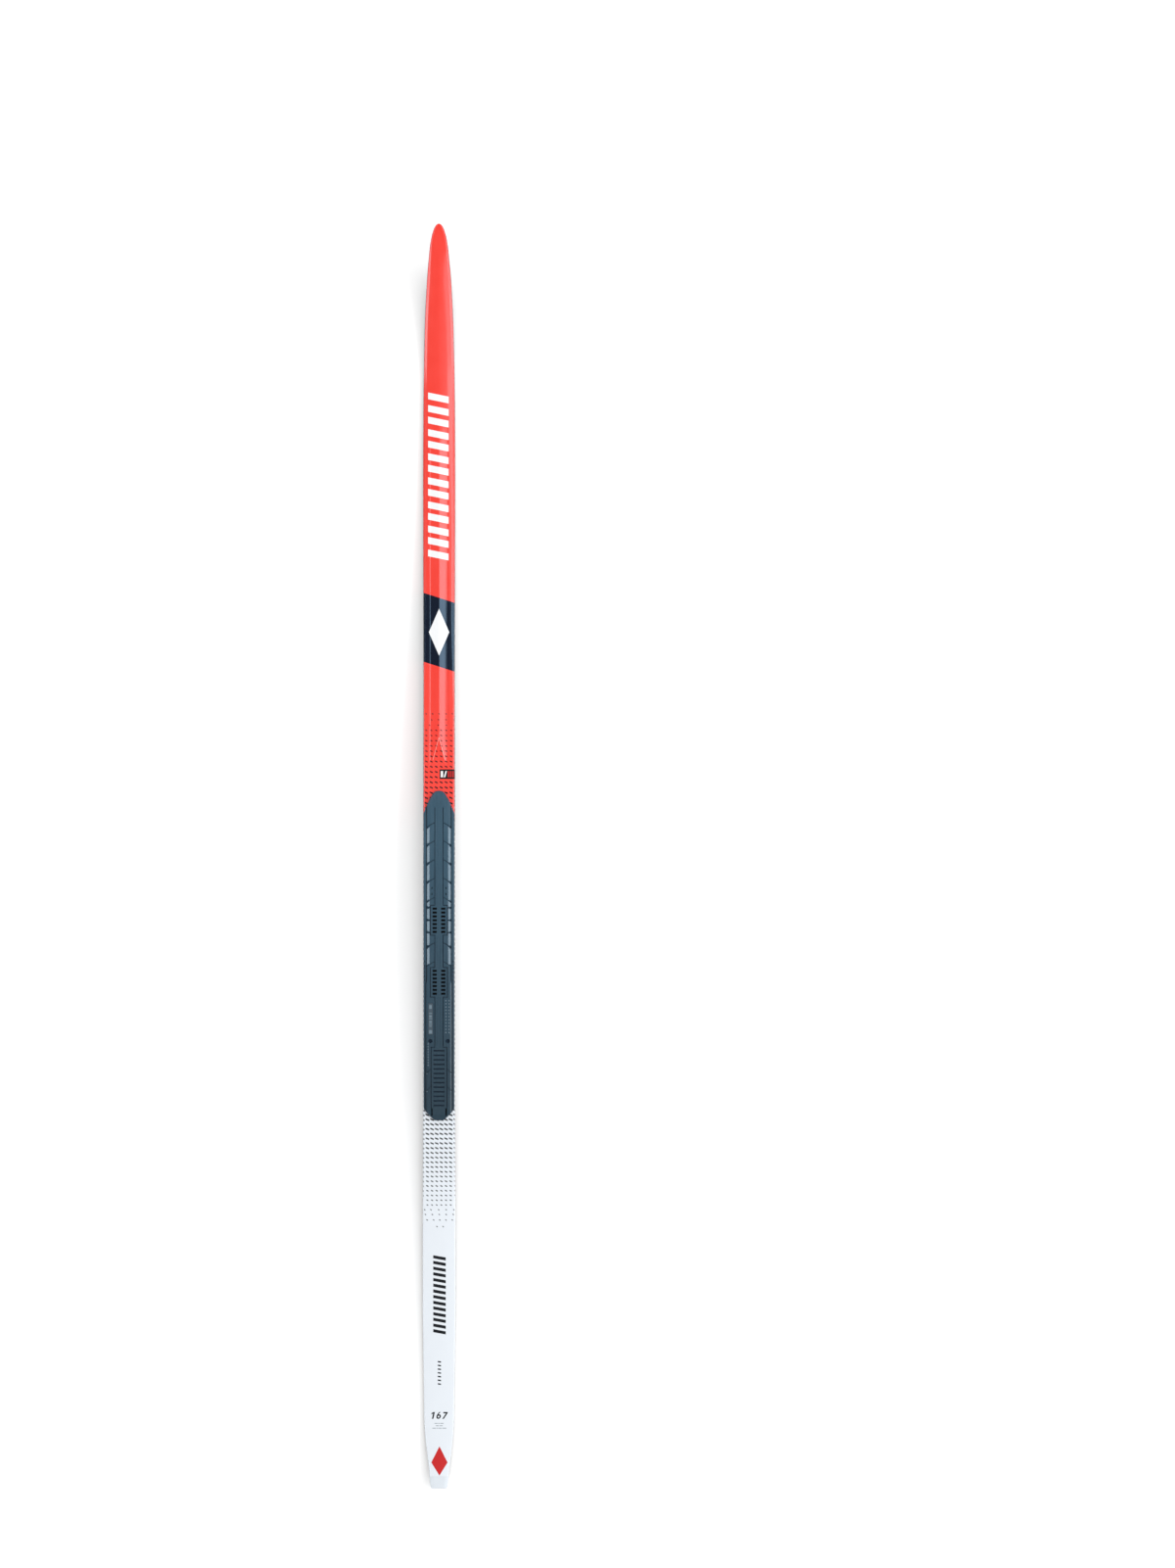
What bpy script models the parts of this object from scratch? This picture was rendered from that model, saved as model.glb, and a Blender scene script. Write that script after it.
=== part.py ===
"""Cross country ski: a laminated cap ski with a moulded binding plate.

Metres, +Z up. The ski lies base down on the floor. +Y points to the tip,
X runs across. The origin is at the middle of the bounding box, on the floor.

A station is a distance s from the tail end along the floor. A section is a
closed outline in (x, h): x across the ski, h square to the running base.
"""
import bisect
import math

import bmesh
import bpy
from mathutils import Matrix, Vector

MM = 0.001

# ---- overall form: everything below is in millimetres ----------------------
LENGTH = 1670.0
TAIL_LIFT = 11.0            # height of the base at the tail end
TAIL_CONTACT = (120.0, 150.0)
CAMBER = 15.0               # height of the unloaded arch
TIP_CONTACT = (1420.0, 1446.0)
TIP_LIFT = 58.0             # height of the base at the tip

# Width over the base, at stations from the tail end.
WIDTH_AT = [
    (0.0, 19.2), (1.2, 21.0), (4.0, 22.6), (12.0, 24.6), (25.0, 26.6), (52.0, 33.4),
    (78.0, 38.4), (96.0, 39.9), (137.0, 40.8), (200.0, 42.8), (250.0, 43.8),
    (430.0, 43.2), (620.0, 42.4), (850.0, 42.2), (1055.0, 41.7), (1250.0, 42.4),
    (1330.0, 42.6), (1423.0, 41.9), (1482.0, 40.2), (1540.0, 37.5),
    (1598.0, 31.8), (1635.5, 25.1),
]
# In front of the table's last station, width = sqrt(d) * (NOSE_ROUND - NOSE_TAPER * sqrt(d)),
# with d the distance to the tip.
NOSE_ROUND = 5.8
NOSE_TAPER = 0.26

# Thickness from the base to the flat of the cap.
THICKNESS_AT = [
    (0.0, 6.6), (80.0, 7.4), (150.0, 8.6), (300.0, 13.4), (450.0, 19.0), (600.0, 22.0),
    (750.0, 23.2), (900.0, 22.2), (1050.0, 18.4), (1200.0, 13.4), (1350.0, 9.4),
    (1450.0, 7.4), (1550.0, 6.4), (1670.0, 5.8),
]

# ---- layers ------------------------------------------------------------------
GAP = 0.3                   # clearance between neighbouring pieces
BASE = 1.5
GROOVE_WIDTH = 9.0
GROOVE_DEPTH = 0.9
GROOVE_TRACE = 0.03         # what is left of its depth in front of GROOVE_END
GROOVE_END = (1440.0, 1500.0)
LAMINATE = 0.5
STRIP_WIDTH = 1.5
STRIP_HEIGHT = 1.5
CAP = 0.9                   # thickness of the cap
CAP_SETBACK = 0.3           # the cap stands back from the base's edge
CAP_ROUND = 1.6             # radius of the cap's shoulder
CAP_LEAN = 0.03             # lean of the cap's side walls
WRAP_LEAN = 0.5             # how much narrower the top laminate is at its top

# ---- ridge on the front half of the cap ---------------------------------------
RIDGE_HALF = 11.2           # from the crest to the valley
RIDGE_WALL = 0.9            # width of the small wall outside the valley
RIDGE_RISE = 1.3            # crest above the cap's flat
RIDGE_SINK = 0.35           # valley below the cap's flat
RIDGE_HIP = (963.0, 992.0)  # the crest splits in two and runs out
RIDGE_START = 6.0           # the ridge rises over this length behind the hip
RIDGE_FRONT = (1340.0, 1440.0)
CROWN = 0.45                # crown of the cap where it has no ridge
CROWN_TAIL = (360.0, 470.0)
CROWN_FRONT = (1000.0, 1400.0)

# ---- lengthwise extents ----------------------------------------------------------
GUARD = 15.0
GUARD_TONGUE = 30.0
GUARD_BREAK = 1.2           # chamfer of the guard's top edges
CORE = (80.0, 1560.0)
TIP_SPACER_END = 1667.0
CAP_END = 1668.6
REINFORCEMENT = (470.0, 945.0)
REINFORCEMENT_THICKNESS = 1.8
CENTRE_STRINGER = 12.0

# ---- binding plate ------------------------------------------------------------------
PLATE = (487.8, 921.6)
PLATE_FLANGE = 1.6
PLATE_BODY = 3.3
PLATE_WIDTH = 40.8
ADHESIVE = 0.4
FILM_INSET = 0.6            # the bonding film stands back from the plate's outline
DECK = ADHESIVE + 2 * GAP   # cap to the plate's underside

PALETTE = {
    "cap_print": ((0.94, 0.07, 0.05), 0.25, 0.0),
    "base_black": ((0.012, 0.012, 0.014), 0.45, 0.0),
    "glass_fibre": ((0.62, 0.60, 0.42), 0.5, 0.0),
    "wood": ((0.60, 0.42, 0.24), 0.7, 0.0),
    "strip_black": ((0.02, 0.02, 0.022), 0.4, 0.0),
    "spacer": ((0.15, 0.15, 0.16), 0.5, 0.0),
    "reinforcement": ((0.30, 0.19, 0.10), 0.55, 0.0),
    "plate": ((0.06, 0.10, 0.15), 0.35, 0.0),
    "adhesive": ((0.55, 0.55, 0.50), 0.6, 0.0),
    "label": ((0.55, 0.60, 0.62), 0.5, 0.0),
    "guard": ((0.80, 0.86, 0.93), 0.35, 0.0),
}


# ---- curves ------------------------------------------------------------------------
def smooth_table(table):
    """A monotone cubic through the table's points."""
    xs = [p[0] for p in table]
    ys = [p[1] for p in table]
    slopes = [(ys[i + 1] - ys[i]) / (xs[i + 1] - xs[i]) for i in range(len(xs) - 1)]
    tangents = [slopes[0]]
    for a, b in zip(slopes, slopes[1:]):
        tangents.append(0.0 if a * b <= 0 else 2 * a * b / (a + b))
    tangents.append(slopes[-1])

    def value(x):
        i = min(max(bisect.bisect_right(xs, x) - 1, 0), len(xs) - 2)
        span = xs[i + 1] - xs[i]
        t = min(max((x - xs[i]) / span, 0.0), 1.0)
        return (ys[i] * (1 + 2 * t) * (1 - t) ** 2 + ys[i + 1] * t * t * (3 - 2 * t)
                + span * t * (1 - t) * (tangents[i] * (1 - t) - tangents[i + 1] * t))
    return value


def ramp(x, span):
    """0 before the span, 1 after it, smooth in between."""
    t = min(max((x - span[0]) / (span[1] - span[0]), 0.0), 1.0)
    return t * t * (3 - 2 * t)


width_table = smooth_table(WIDTH_AT)
thickness = smooth_table(THICKNESS_AT)


def half_width(s):
    """Half the width over the base."""
    if s <= WIDTH_AT[-1][0]:
        return width_table(s) / 2
    root = math.sqrt(max(LENGTH - s, 0.0))
    return root * (NOSE_ROUND - NOSE_TAPER * root) / 2


def base_height(s):
    if s < TAIL_CONTACT[0]:
        return TAIL_LIFT * (1 - s / TAIL_CONTACT[0]) ** 2
    if s < TAIL_CONTACT[1]:
        return 0.0
    if s < TIP_CONTACT[0]:
        u = (s - TAIL_CONTACT[1]) / (TIP_CONTACT[0] - TAIL_CONTACT[1])
        return CAMBER * math.sin(math.pi * u) ** 2
    if s < TIP_CONTACT[1]:
        return 0.0
    return TIP_LIFT * ((s - TIP_CONTACT[1]) / (LENGTH - TIP_CONTACT[1])) ** 2


def place(s, x, h):
    """The world point of a section point, in metres."""
    step = 0.5
    rise = (base_height(s + step) - base_height(s - step)) / (2 * step)
    scale = math.hypot(1.0, rise)
    return Vector((x, s - LENGTH / 2 - h * rise / scale, base_height(s) + h / scale)) * MM


# ---- stations ------------------------------------------------------------------------
def between(start, end, spacing):
    """Evenly spaced stations from start to end, both included."""
    count = max(round((end - start) / spacing), 1)
    return [start + (end - start) * i / count for i in range(count + 1)]


def station_list():
    """Stations dense at the tail, the tip curve and the nose, and sparse between."""
    stations = [0.0, 1.2, 4.0, GUARD, GUARD_TONGUE, 52.0, CORE[0], 97.0]
    stations += between(TAIL_CONTACT[0], TAIL_CONTACT[1], 30)
    stations += between(200, 450, 50) + between(PLATE[0], PLATE[1], 43.38)
    stations += [RIDGE_HIP[0] - RIDGE_START, RIDGE_HIP[0], RIDGE_HIP[1]] + between(1040, 1340, 50)
    stations += between(1380, TIP_CONTACT[0], 40) + between(TIP_CONTACT[1], CORE[1], 19)
    stations += between(CORE[1] + 15, 1635, 15) + [1645.0, 1653.0, 1660.0]
    stations += [LENGTH - d for d in (6.0, 3.4, 1.6, 0.5, 0.05)]
    return sorted(set(round(s, 3) for s in stations))


STATIONS = station_list()


def run(start, end):
    """The stations from start to end, with both ends exact."""
    inner = [s for s in STATIONS if start + 1.0 < s < end - 1.0]
    return [start] + inner + [end]


# ---- mesh helpers --------------------------------------------------------------------
def material(name):
    colour, roughness, metallic = PALETTE[name]
    made = bpy.data.materials.get(name)
    if made is None:
        made = bpy.data.materials.new(name)
        made.use_nodes = True
        shader = made.node_tree.nodes["Principled BSDF"]
        shader.inputs["Base Color"].default_value = (*colour, 1.0)
        shader.inputs["Roughness"].default_value = roughness
        shader.inputs["Metallic"].default_value = metallic
    return made


def add_object(name, mesh_data, material_name, collection):
    mesh = bpy.data.meshes.new(name)
    bmesh.ops.recalc_face_normals(mesh_data, faces=mesh_data.faces)
    mesh_data.to_mesh(mesh)
    mesh_data.free()
    mesh.shade_smooth()
    mesh.set_sharp_from_angle(angle=math.radians(30))
    mesh.materials.append(material(material_name))
    made = bpy.data.objects.new(name, mesh)
    collection.objects.link(made)
    return made


def loft(name, sections, material_name, collection):
    """A solid through sections, each (station, [(x, h), ...]) of equal length."""
    solid = bmesh.new()
    rings = [[solid.verts.new(place(s, x, h)) for x, h in outline] for s, outline in sections]
    for ring, following in zip(rings, rings[1:]):
        for i in range(len(ring)):
            j = (i + 1) % len(ring)
            solid.faces.new((ring[i], ring[j], following[j], following[i]))
    solid.faces.new(list(reversed(rings[0])))
    solid.faces.new(rings[-1])
    return add_object(name, solid, material_name, collection)


def box_section(left, right, low, high):
    return [(left, low), (right, low), (right, high), (left, high)]


# ---- sections ------------------------------------------------------------------------
def base_section(s):
    """The running base, with its centre groove running out before the tip."""
    edge = half_width(s)
    groove = min(GROOVE_WIDTH / 2, 0.4 * edge)
    depth = GROOVE_TRACE + (GROOVE_DEPTH - GROOVE_TRACE) * (1 - ramp(s, GROOVE_END))
    return [(-edge, 0.0), (-groove, 0.0), (-0.8 * groove, depth), (0.8 * groove, depth),
            (groove, 0.0), (edge, 0.0), (edge, BASE), (-edge, BASE)]


LAMINATE_LOW = BASE + GAP
LAMINATE_TOP = LAMINATE_LOW + LAMINATE
CORE_LOW = LAMINATE_TOP + GAP
STRIP_TOP = CORE_LOW + STRIP_HEIGHT
SKIRT_LOW = STRIP_TOP + GAP


def cap_wall(s):
    """Half width of the cap at the foot of its wall and at its shoulder."""
    foot = half_width(s) - CAP_SETBACK
    return foot, foot - CAP_LEAN * (thickness(s) - SKIRT_LOW)


def cap_top(s):
    """The cap's upper outline from the left shoulder to the right one."""
    flat = thickness(s)
    foot, shoulder = cap_wall(s)
    high = min(CAP_ROUND, 0.5 * (flat - SKIRT_LOW), 0.3 * foot)
    edge = shoulder - high
    valley = min(RIDGE_HALF, 0.52 * foot)
    step = valley + min(RIDGE_WALL, 0.05 * foot)
    ridge = ramp(s, (RIDGE_HIP[0] - RIDGE_START, RIDGE_HIP[0])) * (1 - ramp(s, RIDGE_FRONT))
    crown = CROWN * ((1 - ramp(s, CROWN_TAIL)) + ramp(s, CROWN_FRONT))
    split = 1 - min(max((s - RIDGE_HIP[0]) / (RIDGE_HIP[1] - RIDGE_HIP[0]), 0.02), 0.98)
    crest = valley * split
    roof = (RIDGE_RISE + RIDGE_SINK) * (1 - crest / valley) - RIDGE_SINK

    def height(x, relief):
        return flat + relief * ridge + crown * (1 - (x / edge) ** 2)

    right = [(crest, height(crest, roof)), (valley, height(valley, -RIDGE_SINK)),
             (step, height(step, 0.0)), (edge, flat), (shoulder - 0.3 * high, flat - 0.3 * high),
             (shoulder, flat - high)]
    left = [(-x, h) for x, h in reversed(right)]
    return left + right


def cap_section(s):
    """The cap: a thin shell over the core, open below."""
    foot, shoulder = cap_wall(s)
    under = thickness(s) - CAP
    outer = [(-foot, SKIRT_LOW)] + cap_top(s) + [(foot, SKIRT_LOW)]
    inner = [(foot - CAP, SKIRT_LOW), (shoulder - CAP, under),
             (CAP - shoulder, under), (CAP - foot, SKIRT_LOW)]
    return outer + inner


def wrap_section(s):
    """The top laminate: an upside-down U over the core."""
    edge = half_width(s) - STRIP_WIDTH - GAP
    top = thickness(s) - CAP - GAP
    inside = edge - LAMINATE
    outer_top = edge - WRAP_LEAN
    return [(-edge, CORE_LOW), (-edge, STRIP_TOP), (-outer_top, top), (outer_top, top),
            (edge, STRIP_TOP), (edge, CORE_LOW), (inside, CORE_LOW), (inside, STRIP_TOP),
            (outer_top - LAMINATE, top - LAMINATE), (LAMINATE - outer_top, top - LAMINATE),
            (-inside, STRIP_TOP), (-inside, CORE_LOW)]


def hat_section(s):
    """A filler as wide as the base below, and inside the cap's walls above."""
    edge = half_width(s)
    neck = edge - CAP_SETBACK - CAP - GAP
    top = thickness(s) - CAP - GAP
    return [(-edge, CORE_LOW), (edge, CORE_LOW), (edge, STRIP_TOP), (neck, STRIP_TOP),
            (neck, top), (-neck, top), (-neck, STRIP_TOP), (-edge, STRIP_TOP)]


def guard_section(s):
    """The tail guard's full-height outer part, with its top edges broken."""
    edge = half_width(s)
    top = thickness(s) + CROWN
    low, inside = top - GUARD_BREAK, edge - GUARD_BREAK
    return [(-edge, 0.0), (edge, 0.0), (edge, STRIP_TOP), (edge, low), (inside, top),
            (-inside, top), (-edge, low), (-edge, STRIP_TOP)]


def core_top(s, in_reinforcement):
    """The top of the core, lower where the reinforcement lies on it."""
    top = thickness(s) - CAP - GAP - LAMINATE - GAP
    return top - (REINFORCEMENT_THICKNESS + GAP if in_reinforcement else 0.0)


def core_side(s):
    return half_width(s) - STRIP_WIDTH - GAP - WRAP_LEAN - LAMINATE - GAP


# ---- the laminated body -----------------------------------------------------------------
def build_base(collection):
    stations = run(GUARD, LENGTH - 0.05)
    loft("running_base", [(s, base_section(s)) for s in stations], "base_black", collection)
    stations = run(GUARD, TIP_SPACER_END + 1.0)
    sections = []
    for s in stations:
        edge = half_width(s) - 0.05
        sections.append((s, box_section(-edge, edge, LAMINATE_LOW, LAMINATE_TOP)))
    loft("base_laminate", sections, "glass_fibre", collection)


def build_edge_strips(collection):
    for name, side in (("edge_strip_left", -1), ("edge_strip_right", 1)):
        sections = []
        for s in run(CORE[0] + GAP, CORE[1] - GAP):
            outer = side * half_width(s)
            inner = side * (half_width(s) - STRIP_WIDTH)
            left, right = min(outer, inner), max(outer, inner)
            sections.append((s, box_section(left, right, CORE_LOW, STRIP_TOP)))
        loft(name, sections, "strip_black", collection)


def build_core(collection):
    """Three glued stringers side by side, each with a step under the reinforcement."""
    start, end = CORE[0] + GAP, CORE[1] - GAP
    low_start, low_end = REINFORCEMENT[0] - GAP, REINFORCEMENT[1] + GAP
    stations = [(s, False) for s in run(start, low_start)]
    stations += [(s, True) for s in run(low_start, low_end)]
    stations += [(s, False) for s in run(low_end, end)]
    half = CENTRE_STRINGER / 2
    spans = {
        "core_stringer_left": lambda s: (-core_side(s), -half - GAP),
        "core_stringer_centre": lambda s: (-half, half),
        "core_stringer_right": lambda s: (half + GAP, core_side(s)),
    }
    for name, span in spans.items():
        sections = []
        for s, in_reinforcement in stations:
            left, right = span(s)
            sections.append((s, box_section(left, right, CORE_LOW, core_top(s, in_reinforcement))))
        loft(name, sections, "wood", collection)
    sections = []
    for s in run(*REINFORCEMENT):
        side = core_side(s)
        top = core_top(s, False)
        sections.append((s, box_section(-side, side, top - REINFORCEMENT_THICKNESS, top)))
    loft("binding_reinforcement", sections, "reinforcement", collection)


def build_fillers(collection):
    stations = run(GUARD_TONGUE + GAP, CORE[0])
    loft("tail_spacer", [(s, hat_section(s)) for s in stations], "spacer", collection)
    stations = run(CORE[1], TIP_SPACER_END)
    loft("tip_spacer", [(s, hat_section(s)) for s in stations], "spacer", collection)
    sections = [(s, guard_section(s)) for s in run(0.0, GUARD - GAP)]
    sections += [(s, hat_section(s)) for s in (GUARD - GAP, GUARD_TONGUE)]
    loft("tail_guard", sections, "guard", collection)


def build_shell(collection):
    stations = run(CORE[0] + GAP, CORE[1] - GAP)
    loft("top_laminate", [(s, wrap_section(s)) for s in stations], "glass_fibre", collection)
    stations = run(GUARD, CAP_END)
    loft("topsheet", [(s, cap_section(s)) for s in stations], "cap_print", collection)


# ---- binding plate ----------------------------------------------------------------------
# Plan sizes of the plate: (half width, distance behind the front apex).
OGIVE = [(3.0, 0.0), (6.2, 1.8), (8.4, 4.2), (11.0, 8.3), (13.2, 12.5), (15.0, 16.5),
         (17.4, 23.5), (PLATE_WIDTH / 2, 29.4)]
REAR_CHAMFER = [(PLATE_WIDTH / 2, 16.0), (7.4, 1.4), (5.6, 0.0)]    # ahead of the rear end
BODY_HALF = 15.5            # the raised body ahead of BODY_STEP
BODY_HALF_REAR = 16.8       # and behind it
BODY_STEP = 670.0
BODY_MARGIN = 0.8           # the body stands back from the plate's outline
BODY_FRONT = 21.0           # its full width runs from here behind the front apex
BODY_REAR = 13.6            # to here ahead of the rear end
BODY_STEP_LENGTH = 1.3
BODY_LOW = 0.4              # the body's blank reaches down into the flange
SIDE_GROOVE_CENTRE = 0.5    # outside the body's edge
SIDE_GROOVE_WIDTH = 2.0
SIDE_GROOVE_DEPTH = 0.8
SIDE_GROOVE_ENDS = (24.0, 15.0)     # behind the front apex, ahead of the rear end
CHANNEL_X = 5.5             # lines beside the centre rail
LINE = 0.9
LINE_DEPTH = 0.7
CHEVRON_DEPTH = 0.6
CHANNEL_FRONT = 30.0        # the lines start this far behind the front apex
OVERLAP = 0.6               # a chevron's line runs this far past the body's edge
CUTTER_HEAD = 1.0           # cutters stand this much above the body
CHEVRONS = [879.7, 855.8, 831.1, 806.8, 781.6, 721.9, 697.2]        # inner ends
CHEVRON_FALL = 6.9          # the outer end lies this much further back
REAR_CHEVRONS = [556.2, 532.7]
WINDOW_BLOCKS = [(766.7, 5.08), (685.0, 5.02)]                      # first row, pitch
WINDOW_ROWS = 7
WINDOW_X = 5.65
WINDOW = (5.6, 2.7)
WINDOW_DEPTH = 1.7
WINDOW_FRAME_HALF = 11.2
WINDOW_FRAME_MARGIN = 4.4
RIB_BLOCK = (582.9, 504.7)
RIB_COUNT = 13
RIB_HALF = 7.2
RIB_FRAME_HALF = 10.5
RIB_FRAME_MARGIN = 1.5
RIB_GAP_SHARE = 0.4         # of the ribs' pitch
RIB_GAP_DEPTH = 1.0
REAR_SLOT = (9.4, 1.6, 504.0, 494.0)                                # x, width, start, end
REAR_SLOT_DEPTH = 1.3
PIN_HOLE = (11.6, 592.6, 2.7)                                       # x, station, radius
PIN_HOLE_DEPTH = 1.2
PIN_CUTTER_HEAD = 1.8       # the pin hole's cutter stands this much above the body
LABEL_BOX = (-14.3, -8.0, 601.0, 642.4)
LABEL_POCKET = 0.6
LABEL_THICKNESS = 0.15
BEVEL_START = 12.0          # the scales fall off outside this, ahead of BODY_STEP
BEVEL_START_REAR = 14.6     # and behind it
BEVEL_DROP = 0.9
END_THINNING = 0.5          # share of the height lost at the plate's two ends


def extruded(outline, low, high):
    """A closed prism on an outline of (x, y)."""
    prism = bmesh.new()
    verts = [prism.verts.new((x, y, low)) for x, y in outline]
    face = prism.faces.new(verts)
    lifted = bmesh.ops.extrude_face_region(prism, geom=[face])
    moved = [v for v in lifted["geom"] if isinstance(v, bmesh.types.BMVert)]
    bmesh.ops.translate(prism, verts=moved, vec=(0, 0, high - low))
    bmesh.ops.recalc_face_normals(prism, faces=prism.faces)
    return prism


def add_bar(cutters, start, end, width, depth, top=PLATE_BODY):
    """A straight groove cutter from one (x, y) to another, on both sides of the middle."""
    for side in (-1, 1):
        a = Vector((side * start[0], start[1], 0))
        b = Vector((side * end[0], end[1], 0))
        middle = (a + b) / 2
        angle = math.atan2(b.y - a.y, b.x - a.x)
        low, high = top - depth, PLATE_BODY + CUTTER_HEAD
        matrix = (Matrix.Translation((middle.x, middle.y, (low + high) / 2))
                  @ Matrix.Rotation(angle, 4, "Z")
                  @ Matrix.Diagonal(((b - a).length, width, high - low, 1.0)))
        bmesh.ops.create_cube(cutters, size=1.0, matrix=matrix)


def add_slot(cutters, x, y, across, along, depth):
    """A pocket cutter centred on (x, y)."""
    low, high = PLATE_BODY - depth, PLATE_BODY + CUTTER_HEAD
    matrix = (Matrix.Translation((x, y, (low + high) / 2))
              @ Matrix.Diagonal((across, along, high - low, 1.0)))
    bmesh.ops.create_cube(cutters, size=1.0, matrix=matrix)


def line_cutters():
    """The centre rail's lines, the window frames, the rib frame and the chevrons."""
    lines = bmesh.new()
    frames = []
    for first, pitch in WINDOW_BLOCKS:
        last = first - (WINDOW_ROWS - 1) * pitch
        frames.append((first + WINDOW_FRAME_MARGIN, last - WINDOW_FRAME_MARGIN, WINDOW_FRAME_HALF))
    frames.append((RIB_BLOCK[0] + RIB_FRAME_MARGIN, RIB_BLOCK[1], RIB_FRAME_HALF))
    channel = PLATE[1] - CHANNEL_FRONT
    for front, rear, half in frames:
        add_bar(lines, (CHANNEL_X, channel), (CHANNEL_X, front), LINE, LINE_DEPTH)
        add_bar(lines, (CHANNEL_X - LINE / 2, front), (half + LINE / 2, front), LINE, LINE_DEPTH)
        add_bar(lines, (half, front), (half, rear), LINE, LINE_DEPTH)
        if rear > RIB_BLOCK[1]:
            add_bar(lines, (CHANNEL_X - LINE / 2, rear), (half + LINE / 2, rear), LINE, LINE_DEPTH)
        channel = rear
    for s in CHEVRONS:
        add_bar(lines, (CHANNEL_X, s), (BODY_HALF + OVERLAP, s - CHEVRON_FALL), LINE,
                CHEVRON_DEPTH)
    for s in REAR_CHEVRONS:
        add_bar(lines, (RIB_FRAME_HALF, s), (BODY_HALF_REAR + OVERLAP, s - CHEVRON_FALL), LINE,
                CHEVRON_DEPTH)
    return lines


def pocket_cutters():
    """The lock windows, the ribs' gaps, the pin holes, the rear slots and the label's pocket."""
    pockets = bmesh.new()
    for first, pitch in WINDOW_BLOCKS:
        for row in range(WINDOW_ROWS):
            for x in (-WINDOW_X, WINDOW_X):
                add_slot(pockets, x, first - row * pitch, *WINDOW, WINDOW_DEPTH)
    pitch = (RIB_BLOCK[0] - RIB_BLOCK[1]) / RIB_COUNT
    for rib in range(RIB_COUNT):
        s = RIB_BLOCK[0] - (rib + 0.5) * pitch
        add_slot(pockets, 0.0, s, 2 * RIB_HALF, RIB_GAP_SHARE * pitch, RIB_GAP_DEPTH)
    x, s, radius = PIN_HOLE
    height = PIN_HOLE_DEPTH + PIN_CUTTER_HEAD
    for side in (-1, 1):
        centre = (side * x, s, PLATE_BODY - PIN_HOLE_DEPTH + height / 2)
        bmesh.ops.create_cone(pockets, cap_ends=True, segments=12, radius1=radius, radius2=radius,
                              depth=height, matrix=Matrix.Translation(centre))
    x, width, front, rear = REAR_SLOT
    for side in (-1, 1):
        add_slot(pockets, side * x, (front + rear) / 2, width, front - rear, REAR_SLOT_DEPTH)
    left, right, rear, front = LABEL_BOX
    add_slot(pockets, (left + right) / 2, (rear + front) / 2, right - left, front - rear,
             LABEL_POCKET)
    return pockets


def temporary(mesh_data, name, collection):
    """A hidden object that is only joined to another or cut from it."""
    mesh = bpy.data.meshes.new(name)
    mesh_data.to_mesh(mesh)
    mesh_data.free()
    made = bpy.data.objects.new(name, mesh)
    made.hide_render = True
    made.display_type = "WIRE"
    collection.objects.link(made)
    return made


def combine(target, operand, operation):
    """Apply a Boolean of the operand to the target's mesh."""
    modifier = target.modifiers.new(operand.name, "BOOLEAN")
    modifier.object = operand
    modifier.operation = operation
    modifier.use_self = True
    bpy.context.view_layer.update()
    evaluated = target.evaluated_get(bpy.context.evaluated_depsgraph_get())
    target.data = bpy.data.meshes.new_from_object(evaluated)
    target.modifiers.clear()


def mirrored(points):
    """A closed outline from its right half, front to rear."""
    return [(x, y) for x, y in points] + [(-x, y) for x, y in reversed(points)]


def plate_outline():
    right = [(x, PLATE[1] - d) for x, d in OGIVE]
    right += [(x, PLATE[0] + d) for x, d in REAR_CHAMFER]
    return mirrored(right)


def body_outline():
    """The raised body, a little inside the plate's outline."""
    right = [(x - BODY_MARGIN, PLATE[1] - d - BODY_MARGIN) for x, d in OGIVE if x < BODY_HALF]
    right += [(BODY_HALF, PLATE[1] - BODY_FRONT), (BODY_HALF, BODY_STEP)]
    right += [(BODY_HALF_REAR, BODY_STEP - BODY_STEP_LENGTH),
              (BODY_HALF_REAR, PLATE[0] + BODY_REAR)]
    right += [(x - BODY_MARGIN, PLATE[0] + d + BODY_MARGIN) for x, d in REAR_CHAMFER[1:]]
    return mirrored(right)


def deck_point(x, y, z):
    """Bend a flat plate point onto the cap, straight between stations as the cap is."""
    i = min(max(bisect.bisect_right(STATIONS, y) - 1, 0), len(STATIONS) - 2)
    rear, front = STATIONS[i], STATIONS[i + 1]
    t = (y - rear) / (front - rear)
    return (place(rear, x, thickness(rear) + DECK + z).lerp(
        place(front, x, thickness(front) + DECK + z), t))


def plate_height(x, y, z):
    """The plate thins out at both ends, and its scales fall off towards their edges."""
    half = BODY_HALF if y > BODY_STEP else BODY_HALF_REAR
    flat = BEVEL_START if y > BODY_STEP else BEVEL_START_REAR
    if z > PLATE_FLANGE:
        z -= BEVEL_DROP * min(max((abs(x) - flat) / (half - flat), 0.0), 1.0)
    front = 1 - END_THINNING * (1 - ramp(PLATE[1] - y, (0.0, 16.0)))
    rear = 1 - END_THINNING * (1 - ramp(y - PLATE[0], (0.0, 10.0)))
    return z * front * rear


def bend(flat, shaped=plate_height):
    """Slice a flat mesh at the stations and bend it onto the deck."""
    cuts = [((0, s, 0), (0, 1, 0)) for s in STATIONS if PLATE[0] + 1 < s < PLATE[1] - 1]
    for x in (BEVEL_START, BEVEL_START_REAR):
        cuts += [((x, 0, 0), (1, 0, 0)), ((-x, 0, 0), (1, 0, 0))]
    for point, normal in cuts:
        geometry = flat.verts[:] + flat.edges[:] + flat.faces[:]
        bmesh.ops.bisect_plane(flat, geom=geometry, dist=0.001, plane_co=point, plane_no=normal)
    bmesh.ops.triangulate(flat, faces=flat.faces)
    for vert in flat.verts:
        x, y, z = vert.co
        vert.co = deck_point(x, y, shaped(x, y, z))
    return flat


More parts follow.
